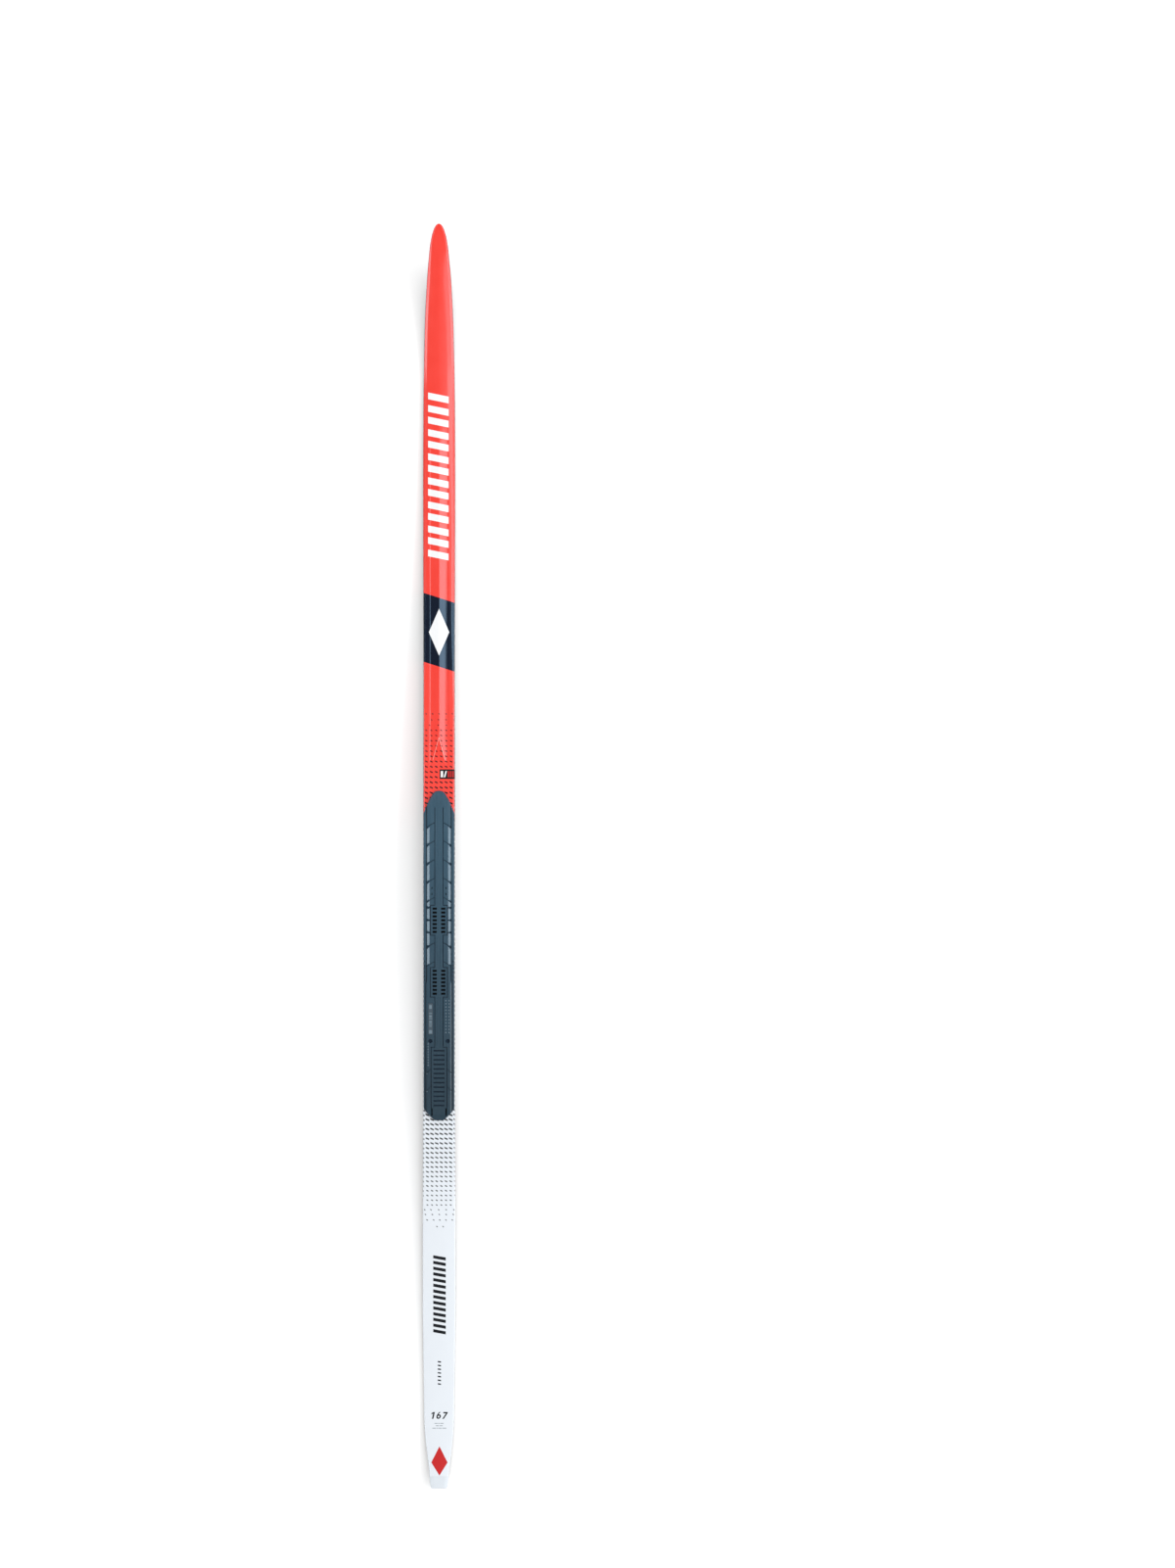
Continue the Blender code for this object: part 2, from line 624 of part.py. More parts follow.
def build_binding_plate(collection, cutters):
    flange = temporary(extruded(plate_outline(), 0.0, PLATE_FLANGE), "plate_blank", cutters)
    grooves = bmesh.new()
    front_end, rear_end = PLATE[1] - SIDE_GROOVE_ENDS[0], PLATE[0] + SIDE_GROOVE_ENDS[1]
    step = BODY_STEP - BODY_STEP_LENGTH / 2
    for half, front, rear in ((BODY_HALF, front_end, step), (BODY_HALF_REAR, step, rear_end)):
        x = half + SIDE_GROOVE_CENTRE
        add_bar(grooves, (x, front), (x, rear), SIDE_GROOVE_WIDTH, SIDE_GROOVE_DEPTH,
                PLATE_FLANGE)
    combine(flange, temporary(grooves, "side_grooves", cutters), "DIFFERENCE")
    body = extruded(body_outline(), BODY_LOW, PLATE_BODY)
    combine(flange, temporary(body, "plate_body", cutters), "UNION")
    combine(flange, temporary(line_cutters(), "plate_lines", cutters), "DIFFERENCE")
    combine(flange, temporary(pocket_cutters(), "plate_pockets", cutters), "DIFFERENCE")
    shaped = bmesh.new()
    shaped.from_mesh(flange.data)
    add_object("binding_plate", bend(shaped), "plate", collection)


def build_plate_trim(collection):
    """The bonding film below the plate and the sticker in the plate's pocket."""
    inset = FILM_INSET
    outline = [(x - math.copysign(inset, x), y + (inset if y < BODY_STEP else -inset))
               for x, y in plate_outline()]
    film = extruded(outline, -GAP - ADHESIVE, -GAP)
    add_object("plate_adhesive", bend(film, lambda x, y, z: z), "adhesive", collection)
    left, right, rear, front = LABEL_BOX
    low = PLATE_BODY - LABEL_POCKET + GAP
    corners = [(left + GAP, rear + GAP), (right - GAP, rear + GAP),
               (right - GAP, front - GAP), (left + GAP, front - GAP)]
    sticker = extruded(corners, low, low + LABEL_THICKNESS)
    add_object("plate_label", bend(sticker, lambda x, y, z: z), "label", collection)


def main():
    for old in list(bpy.data.objects):
        bpy.data.objects.remove(old, do_unlink=True)
    ski = bpy.data.collections.new("cross_country_ski")
    cutters = bpy.data.collections.new("cutters")
    bpy.context.scene.collection.children.link(ski)
    bpy.context.scene.collection.children.link(cutters)
    build_base(ski)
    build_edge_strips(ski)
    build_core(ski)
    build_fillers(ski)
    build_shell(ski)
    build_binding_plate(ski, cutters)
    build_plate_trim(ski)


main()
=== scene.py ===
"""Looks of the cross country ski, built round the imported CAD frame.

The ski lies base down along Y, tip to +Y. A station s is the distance in
millimetres from the tail end. A section point is (x, h): x across the ski, h
square to the base. The form functions repeat those of the CAD.
"""
import bisect
import math

import bmesh
import bpy
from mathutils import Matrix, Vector


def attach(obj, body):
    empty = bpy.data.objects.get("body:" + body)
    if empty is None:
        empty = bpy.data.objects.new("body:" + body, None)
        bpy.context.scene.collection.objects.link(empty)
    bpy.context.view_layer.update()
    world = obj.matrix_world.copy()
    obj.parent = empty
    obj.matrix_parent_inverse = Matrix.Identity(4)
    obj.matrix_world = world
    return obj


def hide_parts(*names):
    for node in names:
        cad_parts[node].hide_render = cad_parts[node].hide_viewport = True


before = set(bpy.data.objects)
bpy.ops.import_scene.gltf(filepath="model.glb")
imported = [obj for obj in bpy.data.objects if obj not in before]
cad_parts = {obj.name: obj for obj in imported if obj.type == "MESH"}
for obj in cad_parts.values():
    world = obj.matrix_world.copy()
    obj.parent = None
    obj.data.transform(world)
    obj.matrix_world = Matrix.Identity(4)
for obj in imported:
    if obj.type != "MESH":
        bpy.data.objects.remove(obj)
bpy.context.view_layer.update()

MM = 0.001

# ---- form, as in the CAD --------------------------------------------------------
LENGTH = 1670.0
TAIL_LIFT = 11.0
TAIL_CONTACT = (120.0, 150.0)
CAMBER = 15.0
TIP_CONTACT = (1420.0, 1446.0)
TIP_LIFT = 58.0
WIDTH_AT = [
    (0.0, 19.2), (1.2, 21.0), (4.0, 22.6), (12.0, 24.6), (25.0, 26.6), (52.0, 33.4),
    (78.0, 38.4), (96.0, 39.9), (137.0, 40.8), (200.0, 42.8), (250.0, 43.8),
    (430.0, 43.2), (620.0, 42.4), (850.0, 42.2), (1055.0, 41.7), (1250.0, 42.4),
    (1330.0, 42.6), (1423.0, 41.9), (1482.0, 40.2), (1540.0, 37.5),
    (1598.0, 31.8), (1635.5, 25.1),
]
NOSE_ROUND = 5.8
NOSE_TAPER = 0.26
THICKNESS_AT = [
    (0.0, 6.6), (80.0, 7.4), (150.0, 8.6), (300.0, 13.4), (450.0, 19.0), (600.0, 22.0),
    (750.0, 23.2), (900.0, 22.2), (1050.0, 18.4), (1200.0, 13.4), (1350.0, 9.4),
    (1450.0, 7.4), (1550.0, 6.4), (1670.0, 5.8),
]
GAP = 0.3
BASE = 1.5
GROOVE_WIDTH = 9.0
GROOVE_DEPTH = 0.9
GROOVE_END = (1440.0, 1500.0)
STRIP_WIDTH = 1.5
LAMINATE_LOW = BASE + GAP
LAMINATE_TOP = LAMINATE_LOW + 0.5
CORE_LOW = LAMINATE_TOP + GAP
STRIP_TOP = CORE_LOW + 1.5
SKIRT_LOW = STRIP_TOP + GAP
CAP = 0.9
CAP_SETBACK = 0.3
CAP_ROUND = 1.6
CAP_LEAN = 0.03
RIDGE_RISE = 1.3
RIDGE_SINK = 0.35
RIDGE_HIP = (963.0, 992.0)
RIDGE_FRONT = (1340.0, 1440.0)
CROWN = 0.45
CROWN_TAIL = (360.0, 470.0)
GUARD = 15.0
CORE = (80.0, 1560.0)

PLATE = (487.8, 921.6)
PLATE_FLANGE = 1.6
PLATE_BODY = 3.3
PLATE_HALF = 20.4
DECK = 1.0
OGIVE = [(1.6, 0.0), (4.4, 0.7), (6.4, 1.9), (8.4, 4.2), (11.0, 8.3), (13.2, 12.5), (15.0, 16.5),
         (PLATE_HALF, 29.4)]
REAR_CHAMFER = [(PLATE_HALF, 16.0), (17.6, 11.6), (13.2, 6.6), (8.8, 2.4), (5.6, 0.0)]
BODY_STEP = 670.0
CHANNEL_X = 5.5
LINE = 0.9
LINE_DEPTH = 0.7
CHEVRONS = [879.7, 855.8, 831.1, 806.8, 781.6, 721.9, 697.2]
CHEVRON_FALL = 6.9
REAR_CHEVRONS = [556.2, 532.7]
WINDOW_BLOCKS = [(766.7, 5.08), (685.0, 5.02)]
WINDOW_ROWS = 7
WINDOW_X = 5.65
WINDOW = (5.6, 2.7)
WINDOW_FRAME = 11.2
WINDOW_MARGIN = 4.4
RIB_BLOCK = (582.9, 504.7)
RIB_COUNT = 13
RIB_HALF = 7.2
RIB_FRAME = 10.5
REAR_SLOT = (9.4, 0.8, 504.0, 494.0)        # x, half width, front and rear end
PIN_HOLE = (11.6, 592.6, 2.7)
LABEL_BOX = (-14.3, -8.0, 601.0, 642.4)
LABEL_POCKET = 0.6
LABEL_THICKNESS = 0.15
END_THINNING = 0.5

# ---- what only the looks have: cap and layers -----------------------------------------
UPRIGHT = (1600.0, 1655.0)  # the nose is cut upright instead of square to the base
NOSE_ROWS = (3.6, 3.2, 2.8, 2.4, 2.0, 1.6, 1.3, 1.0, 0.7, 0.4)      # roots of distances to it
BASE_SEAM = BASE + GAP / 2  # the looks close the CAD's gaps between the layers
FIBRE_SEAM = CORE_LOW - 0.1
CAP_FOOT = SKIRT_LOW - GAP + 0.02
LINE_SETBACK = 0.04         # of the side line, behind the base's edge
FIBRE_SETBACK = 0.12
GUARD_ROUND = 1.2           # rounding of the tail guard's upper edges
REAR_SETBACK = 0.05         # behind the red, the cap's foot is nearly flush with the base
CHANNEL = 11.9              # from the crest to the foot of the channel's wall
CHANNEL_WALL = 0.5
CHAMFER = 3.2               # the cap's bevelled edge in front of the plate
CHAMFER_DROP = 1.15
CHAMFER_CURVE = 1.7         # it gets steeper towards the edge
CHAMFER_ROUND = 0.8         # radius below the bevel
CHAMFER_FROM = (1040.0, 1160.0)
FRONT_CROWN = 1.6           # crown of the cap's front, and where it grows
FRONT_CROWN_FROM = (1000.0, 1420.0)
NOSE_FLAT = (1590.0, 1668.0)                # the crown runs out towards the nose
RIDGE_RUNOUT = (950.0, 968.0)
ROUND_STEPS = 5
HIP_SPLIT = 0.66            # share of the channel where the split crest ends
CREASE = 0.35               # half width of a softened crease
NAVY = (1085.3, 1176.6)     # the navy band's two edges on the middle line
NAVY_SLANT = -0.32          # how far an edge moves per millimetre to the right
RED_FROM = 884.0            # the cap is white behind here, red ahead

# ---- what only the looks have: the plate ----------------------------------------------
SURFACE, GROOVE, HOLE = range(3)            # kinds of face; groove and hole faces get darker materials, painted shade
WALL = 0.05                 # half of a steep wall's width in the plate's plan
WINDOW_DEEP = 2.2
SIDE_LINE = 16.2            # the groove between the plate's body and its flange
SIDE_GROOVE = 0.9
SIDE_FLOOR = 0.7
SIDE_STEP = 1.1             # it steps out by this much behind BODY_STEP
STEP_RUN = (BODY_STEP - 1.5, BODY_STEP + 3.5)
STEP_IN = (14.4, 15.2)      # the step grows between these and is gone at the plate's edge
STEP_OUT = 17.0
CHEVRON_CURVE = 0.35        # share of the chevrons' fall that grows outwards
BEVEL_FROM = 12.3           # the bevelled strips beside the scales
BEVEL_DEEP = 1.2
SCALE_FALL = 0.12           # the scales' outer part falls off even between the strips
STRIP_GAP = 0.6
STRIP_ROUND = 1.8
REAR_FALL_FROM = 14.6       # behind BODY_STEP the body slopes beside its groove
REAR_FALL = 0.25
CHANNEL_END = PLATE[1] - 22.0
BRIDGES = [767.9, 751.6, 735.3]             # short lines beside the front windows
BRIDGE = 0.8
STRIP_ENDS = [*CHEVRONS[:5], *BRIDGES, *CHEVRONS[5:]]
RAIL_LINE = 1.9             # fine lines on the centre rail
RAIL_LINE_HALF = 0.25
RAIL_LINE_DEPTH = 0.2
RAIL_LINE_FROM = RIB_BLOCK[0] + 6.0
RIB_PITCH = (RIB_BLOCK[0] - RIB_BLOCK[1]) / RIB_COUNT
RIB_GAP = 0.3               # share of the ribs' pitch
RIB_DEEP = 0.9
RIB_SLOPE = 0.5
MARK = (9.3, 2.6)           # x and length of the small slits
MARK_WIDTH = 1.1
MARK_DEEP = 1.2
MARK_STATIONS = (795.6, 787.8)
PIN_DEEP = 1.5
SLOT_DEEP = 1.3
TOOTH = (19.0, 1.6)         # x and length of the notches in the flange
TOOTH_HALF = 0.9            # their half width across
TOOTH_DEEP = 0.6
TOOTH_STATIONS = [704.0 - 5.2 * k for k in range(7)]
RIM_LOW = 1.0               # the plate's outer edge is bevelled
RIM_RISE = 2.2
RIM_INSET = (PLATE_BODY - RIM_LOW) / RIM_RISE
END_REACH = 34.0            # length of the plate's ends that get a cut along this bevel
THIN_FRONT = 16.0           # length of the ends that get thinner
THIN_REAR = 10.0
# Finer rows of the plate's mesh, as distances from a chevron, a bridge and a rib's gap,
# and further columns where the plate bends.
NEAR_CHEVRON = (0.9, 1.4, 2.2, 3.2, 4.2)
NEAR_BRIDGE = (0.7, 1.2, 2.2, 3.2)
NEAR_RIB_GAP = (-0.9, 0.9, 1.25)
BENDS = [0.0, 0.8, 3.6, 12.3, 12.9, 13.5, 13.9, 15.0, 17.3, 18.9, 19.6, 20.1, PLATE_HALF]
CLEAR = 0.25                # room that other rows leave beside a wall
UNDER_SPACING = 6.0         # between the cuts across the plate's underside
# How far the plate's rows follow the chevrons: station and share.
SWEEP = [(891.0, 0.0), (CHEVRONS[0], 1.0), (CHEVRONS[4], 1.0), (771.5, 0.0), (731.4, 0.0),
         (CHEVRONS[5], 1.0), (CHEVRONS[6], 1.0), (689.8, 0.0), (575.0, 0.0),
         (REAR_CHEVRONS[0], 1.0), (REAR_CHEVRONS[1], 1.0), (518.0, 0.0)]

# ---- what only the looks have: print --------------------------------------------------
INK = 0.05                  # print stands this much above the cap
INK_THICK = 0.3             # most of it is sunk in
PRINT_SPACING = 5.0         # print is cut at these distances, to follow what is below it
PRINT_FOLDS = [k * 0.7 for k in range(-19, 20)]
EDGE_MARGIN = 0.35          # between the print and the cap's side
DOT_FALL = 0.42             # slope of the halftone dots
WALL_DOT_FALL = 0.3
SMALLEST_DOT = 0.6
# The two halftones: from the smallest dots to full ones, then count, first station and
# pitch of their rows, and each dot's x.
FRONT_FADE = (1003.0, 908.0)
FRONT_ROWS = (17, 1001.3, -6.856)
FRONT_XS = [-16.7 + 6.55 * k for k in range(-1, 7)]
REAR_FADE = (375.0, 495.0)
REAR_ROWS = (20, 494.9, -6.274)
REAR_XS = [-15.4 + 6.157 * k for k in range(-1, 7)]
EDGE_ROWS = (61, 501.2, 6.274)              # one dot on each side, beside the plate
EDGE_XS = (-21.5, 21.4)
WALL_ROWS = (101, 375.7, 6.274)             # and down the cap's sides
WALL_DROPS = [5.2 + 6.157 * k for k in range(4)]
BADGE = (0.9, 20.6, 937.2, 949.8)           # left, right, rear, front
BADGE_BARS = (939.4, 947.6)
BADGE_CLEAR = 2.2
HIP_HIGHLIGHT_END = 962.0        # painted highlights: pale lines on the crests of the ridge's split end
HIP_HIGHLIGHT_HALF = 0.35
HIP_HIGHLIGHT_LIFT = 0.12
NUMERAL_LEAN = 0.22
# Loose dots where the two halftones run out: station, then each dot's x.
FIRST_DOTS = [(1023.0, (-16.9, -8.5, 0.3, 9.4, 17.7)), (1015.2, (-19.9, -9.8, -0.5, 9.4, 19.7)),
              (1008.1, (-12.3, -1.0, 9.6, 20.0))]
LAST_DOTS = [(369.3, (-19.0, -10.7, -0.5, 9.4, 19.5)), (363.0, (-18.0, -8.9, 0.3, 9.4, 18.8)),
             (355.7, (-15.8, -7.2, 1.0, 9.1, 17.5)), (347.0, (-2.8, 5.3))]
# Dashes in place of the small print at the tail: station, then each dash's two ends.
SMALL_PRINT = [(85.4, ((-6.0, -2.2), (-1.2, 0.6), (1.6, 5.8))),
               (82.2, ((-4.4, -0.6), (0.6, 4.6))),
               (79.0, ((-8.8, -4.4), (-3.4, -1.6), (-0.6, 3.2), (4.2, 9.4)))]
SMALL_PRINT_HIGH = 0.9
# Lines on the sticker: where each starts from its rear end, and its length.
STICKER_LINES = [(1.5, 4.5), (10.5, 1.2), (13.0, 1.2), (15.5, 2.6), (20.5, 1.2), (23.0, 2.6),
                 (27.5, 1.2), (34.0, 5.0)]


def share_of(x, start, end):
    """0 at start and 1 at end, even in between; end may also be the lower one."""
    return min(max((x - start) / (end - start), 0.0), 1.0)


def smooth_table(table):
    """A monotone cubic through the table's points."""
    xs = [p[0] for p in table]
    ys = [p[1] for p in table]
    slopes = [(ys[i + 1] - ys[i]) / (xs[i + 1] - xs[i]) for i in range(len(xs) - 1)]
    tangents = [slopes[0]]
    for a, b in zip(slopes, slopes[1:]):
        tangents.append(0.0 if a * b <= 0 else 2 * a * b / (a + b))
    tangents.append(slopes[-1])

    def value(x):
        i = min(max(bisect.bisect_right(xs, x) - 1, 0), len(xs) - 2)
        span = xs[i + 1] - xs[i]
        t = share_of(x, xs[i], xs[i + 1])
        return (ys[i] * (1 + 2 * t) * (1 - t) ** 2 + ys[i + 1] * t * t * (3 - 2 * t)
                + span * t * (1 - t) * (tangents[i] * (1 - t) - tangents[i + 1] * t))
    return value


def ramp(x, span):
    """share_of with both ends eased."""
    t = share_of(x, *span)
    return t * t * (3 - 2 * t)


width_table = smooth_table(WIDTH_AT)
thickness = smooth_table(THICKNESS_AT)


def half_width(s):
    if s <= WIDTH_AT[-1][0]:
        return width_table(s) / 2
    root = math.sqrt(max(LENGTH - s, 0.0))
    return root * (NOSE_ROUND - NOSE_TAPER * root) / 2


def base_height(s):
    if s < TAIL_CONTACT[0]:
        return TAIL_LIFT * (1 - s / TAIL_CONTACT[0]) ** 2
    if s < TAIL_CONTACT[1]:
        return 0.0
    if s < TIP_CONTACT[0]:
        u = (s - TAIL_CONTACT[1]) / (TIP_CONTACT[0] - TAIL_CONTACT[1])
        return CAMBER * math.sin(math.pi * u) ** 2
    if s < TIP_CONTACT[1]:
        return 0.0
    return TIP_LIFT * ((s - TIP_CONTACT[1]) / (LENGTH - TIP_CONTACT[1])) ** 2


def place(s, x, h):
    """The world point of a section point, in metres."""
    step = 0.5
    rise = (base_height(s + step) - base_height(s - step)) / (2 * step)
    scale = math.hypot(1.0, rise)
    back = h * rise / scale * (1 - ramp(s, UPRIGHT))
    return Vector((x, s - LENGTH / 2 - back, base_height(s) + h / scale)) * MM


def between(start, end, spacing):
    count = max(round((end - start) / spacing), 1)
    return [start + (end - start) * i / count for i in range(count + 1)]


def run(start, end):
    """Stations from start to end, closer together towards the nose and the tail."""
    whole = between(0, 60, 2.5) + between(60, UPRIGHT[0], 6.0) + between(*UPRIGHT, 3.5)
    whole += [LENGTH - root * root for root in NOSE_ROWS]
    stations = [start, end] + [s for s in whole if start + 0.6 < s < end - 0.05]
    return sorted(set(round(s, 3) for s in stations))


def mirrored(right):
    """A closed outline from its right half."""
    return right + [(-x, h) for x, h in reversed(right)]


# ---- materials --------------------------------------------------------------------
def material(name, colour, rough, vary=0.06, scale=60.0, stretch=(1, 1, 1), bump=0.0,
             bump_scale=900.0, painted_shade=None, **sockets):
    """Plastic, paint or fibre: mottled colour, uneven roughness and a fine relief.

    With a painted shade (a, b, share) the colour darkens to that share from y = a to y = b.
    """
    made = bpy.data.materials.new(name)
    made.use_nodes = True
    nodes, links = made.node_tree.nodes, made.node_tree.links
    shader = nodes["Principled BSDF"]
    for socket, value in sockets.items():
        shader.inputs[socket.replace("_", " ")].default_value = value
    where = nodes.new("ShaderNodeTexCoord")
    spread = nodes.new("ShaderNodeMapping")
    spread.inputs["Scale"].default_value = stretch
    links.new(where.outputs["Object"], spread.inputs["Vector"])
    cloud = nodes.new("ShaderNodeTexNoise")
    cloud.inputs["Scale"].default_value = scale
    cloud.inputs["Detail"].default_value = 4.0
    links.new(spread.outputs["Vector"], cloud.inputs["Vector"])
    tint = nodes.new("ShaderNodeMix")
    tint.data_type = "RGBA"
    low = [c * (1 - vary) for c in colour]
    high = [min(c * (1 + vary), 1.0) for c in colour]
    tint.inputs["A"].default_value = (*low, 1.0)
    tint.inputs["B"].default_value = (*high, 1.0)
    links.new(cloud.outputs["Fac"], tint.inputs["Factor"])
    finished = tint
    # painted shade: the colour darkens along y
    if painted_shade:
        along = nodes.new("ShaderNodeSeparateXYZ")
        links.new(where.outputs["Object"], along.inputs["Vector"])
        share = nodes.new("ShaderNodeMapRange")
        for socket, value in zip(("From Min", "From Max", "To Max"), (painted_shade[0], painted_shade[1], 1.0)):
            share.inputs[socket].default_value = value
        links.new(along.outputs["Y"], share.inputs["Value"])
        finished = nodes.new("ShaderNodeMix")
        finished.data_type = "RGBA"
        finished.blend_type = "MULTIPLY"
        finished.inputs["B"].default_value = (painted_shade[2], painted_shade[2], painted_shade[2], 1.0)
        links.new(share.outputs["Result"], finished.inputs["Factor"])
        links.new(tint.outputs["Result"], finished.inputs["A"])
    links.new(finished.outputs["Result"], shader.inputs["Base Color"])
    worn = nodes.new("ShaderNodeMapRange")
    worn.inputs["To Min"].default_value = max(rough - 0.05, 0.02)
    worn.inputs["To Max"].default_value = rough + 0.05
    links.new(cloud.outputs["Fac"], worn.inputs["Value"])
    links.new(worn.outputs["Result"], shader.inputs["Roughness"])
    if bump:
        grain = nodes.new("ShaderNodeTexNoise")
        grain.inputs["Scale"].default_value = bump_scale
        links.new(spread.outputs["Vector"], grain.inputs["Vector"])
        relief = nodes.new("ShaderNodeBump")
        relief.inputs["Strength"].default_value = bump
        relief.inputs["Distance"].default_value = 0.0002
        links.new(grain.outputs["Fac"], relief.inputs["Height"])
        links.new(relief.outputs["Normal"], shader.inputs["Normal"])
    return made


GLOSS = {"Coat_Weight": 0.5, "Coat_Roughness": 0.1}
RED = material("cap_red", (0.735, 0.027, 0.012), 0.30, 0.03, **GLOSS)
NAVY_PAINT = material("cap_navy", (0.003, 0.005, 0.015), 0.17, 0.05, Specular_IOR_Level=0.8,
                      Specular_Tint=(0.52, 0.74, 0.94, 1.0))
WHITE = material("cap_white", (0.60, 0.635, 0.675), 0.32, 0.02, **GLOSS)
LINER = material("cap_inside", (0.30, 0.31, 0.30), 0.6, 0.1)
WHITE_INK = material("print_white", (0.70, 0.71, 0.72), 0.35, 0.01)
BLACK_INK = material("print_black", (0.004, 0.005, 0.008), 0.4, 0.05, Specular_IOR_Level=0.25)
# painted highlight: a pale red standing in for the light that the ridge's crests catch
PAINTED_CREST_HIGHLIGHT = material("painted_crest_highlight", (0.80, 0.25, 0.22), 0.30, 0.03, **GLOSS)
RED_INK = material("print_red", (0.44, 0.011, 0.011), 0.35, 0.03, Specular_IOR_Level=0.2)
GREY_INK = material("print_grey", (0.20, 0.23, 0.26), 0.4, 0.03)
# painted shade: the plate darkens towards its rear, standing in for its weaker reflection there
PLATE_BLUE = material("moulded_plate", (0.023, 0.066, 0.104), 0.24, 0.12, scale=40,
                      stretch=(12, 0.6, 12), bump=0.12, bump_scale=160, painted_shade=(0.04, -0.30, 0.5),
                      Specular_IOR_Level=0.75)
# painted shade: darker, duller materials for the plate's grooves and pockets, where the recesses
# lie in shade
GROOVE_SHADE_PAINT = material("painted_groove_shade", (0.005, 0.015, 0.030), 0.5, 0.1, Specular_IOR_Level=0.1)
HOLE_SHADE_PAINT = material("painted_hole_shade", (0.0012, 0.0022, 0.0036), 0.6, 0.1, Specular_IOR_Level=0.05)
STICKER_INK = material("sticker_ink", (0.10, 0.15, 0.19), 0.4, 0.04)
LABEL = material("sticker", (0.030, 0.055, 0.078), 0.45, 0.04)
BASE_BLACK = material("sintered_base", (0.010, 0.010, 0.012), 0.42, 0.2, stretch=(8, 0.4, 8),
                      bump=0.2, bump_scale=400)
FIBRE = material("glass_fibre", (0.50, 0.48, 0.30), 0.45, 0.12, scale=500)
STRIP = material("edge_strip", (0.015, 0.015, 0.017), 0.35, 0.1)
GUARD_WHITE = material("tail_guard_plastic", (0.54, 0.58, 0.62), 0.35, 0.03)
WOOD = material("core_wood", (0.50, 0.33, 0.18), 0.65, 0.25, scale=90, stretch=(6, 0.3, 6),
                bump=0.3, bump_scale=300)
REINFORCEMENT = material("reinforcement_fibre", (0.22, 0.13, 0.07), 0.5, 0.2, scale=700)
GLUE = material("bonding_film", (0.45, 0.45, 0.40), 0.5, 0.08)


# ---- mesh helpers --------------------------------------------------------------------
def finish_piece(name, solid, materials, replaced=(), angle=38):
    mesh = bpy.data.meshes.new(name)
    bmesh.ops.recalc_face_normals(solid, faces=solid.faces)
    solid.to_mesh(mesh)
    solid.free()
    mesh.shade_smooth()
    mesh.set_sharp_from_angle(angle=math.radians(angle))
    for each in materials:
        mesh.materials.append(each)
    piece = bpy.data.objects.new(name, mesh)
    bpy.context.scene.collection.objects.link(piece)
    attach(piece, "root")
    if replaced:
        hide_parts(*replaced)


def cut_across(solid, point, normal, faces=None, dist=1e-5, **choices):
    """Cut all faces or the given ones along a plane, and return what was looked at."""
    if faces is None:
        parts = solid.verts[:] + solid.edges[:] + solid.faces[:]
    else:
        parts = list({part: 0 for face in faces for part in (face, *face.edges, *face.verts)})
    return bmesh.ops.bisect_plane(solid, geom=parts, dist=dist, plane_co=point,
                                  plane_no=normal, **choices)["geom"]


def raise_copy(solid, z):
    """Close a flat mesh with a copy of its faces at height z, and return what was added."""
    added = bmesh.ops.extrude_face_region(solid, geom=solid.faces[:], use_keep_orig=True)["geom"]
    for part in added:
        if isinstance(part, bmesh.types.BMVert):
            part.co.z = z
    return added


def loft(name, rows, materials, replaced=(), paint=None, angle=38):
    """A closed solid through rows of world points; paint gives a face's material number."""
    solid = bmesh.new()
    rings = [[solid.verts.new(point) for point in row] for row in rows]
    count = len(rings[0])
    for r, (ring, following) in enumerate(zip(rings, rings[1:])):
        for i in range(count):
            j = (i + 1) % count
            face = solid.faces.new((ring[i], ring[j], following[j], following[i]))
            if paint:
                face.material_index = paint(r, i)
    for row, ring in ((0, rings[0][::-1]), (len(rings) - 2, rings[-1])):
        face = solid.faces.new(ring)
        if paint:
            face.material_index = paint(row, 0)
    finish_piece(name, solid, materials, replaced, angle)


# ---- the cap ---------------------------------------------------------------------------
def cap_wall(s):
    shown = REAR_SETBACK + (CAP_SETBACK - REAR_SETBACK) * ramp(s, (RED_FROM - 20, RED_FROM + 20))
    foot = half_width(s) - min(shown, 0.06 * half_width(s))
    return foot, foot - CAP_LEAN * (thickness(s) - SKIRT_LOW)


def cap_shape(s):
    """What the cap's upper outline needs at a station.

    Each size is limited to a share of the width there, so that all shrink at the nose.
    """
    flat = thickness(s)
    foot, shoulder = cap_wall(s)
    side = flat - SKIRT_LOW
    bevelled = ramp(s, CHAMFER_FROM)
    high = min(CAP_ROUND + (CHAMFER_ROUND - CAP_ROUND) * bevelled, 0.5 * side, 0.3 * foot)
    valley = min(CHANNEL, 0.55 * foot)
    ridge = ramp(s, RIDGE_RUNOUT) * (1 - ramp(s, RIDGE_FRONT))
    crown = CROWN * (1 - ramp(s, CROWN_TAIL))
    crown += FRONT_CROWN * share_of(s, *FRONT_CROWN_FROM)
    crown *= 1 - ramp(s, NOSE_FLAT)
    split = HIP_SPLIT * max(share_of(s, RIDGE_HIP[1], RIDGE_HIP[0]), 0.02)
    return {"flat": flat, "foot": foot, "shoulder": shoulder, "high": high, "valley": valley,
            "step": valley + min(CHANNEL_WALL, 0.04 * foot), "ridge": ridge, "crown": crown,
            "crest": valley * split, "edge": shoulder - high,
            "chamfer": min(CHAMFER, 0.18 * foot) * bevelled,
            "drop": min(CHAMFER_DROP, 0.28 * side) * bevelled}


def relief(shape, x):
    """Height of the ridge and its channel over the cap's flat."""
    x = abs(x)
    if x >= shape["step"]:
        return 0.0
    if x >= shape["valley"]:
        return -RIDGE_SINK * (shape["step"] - x) / (shape["step"] - shape["valley"])
    x = max(x, shape["crest"])
    return (RIDGE_RISE + RIDGE_SINK) * (1 - x / shape["valley"]) - RIDGE_SINK


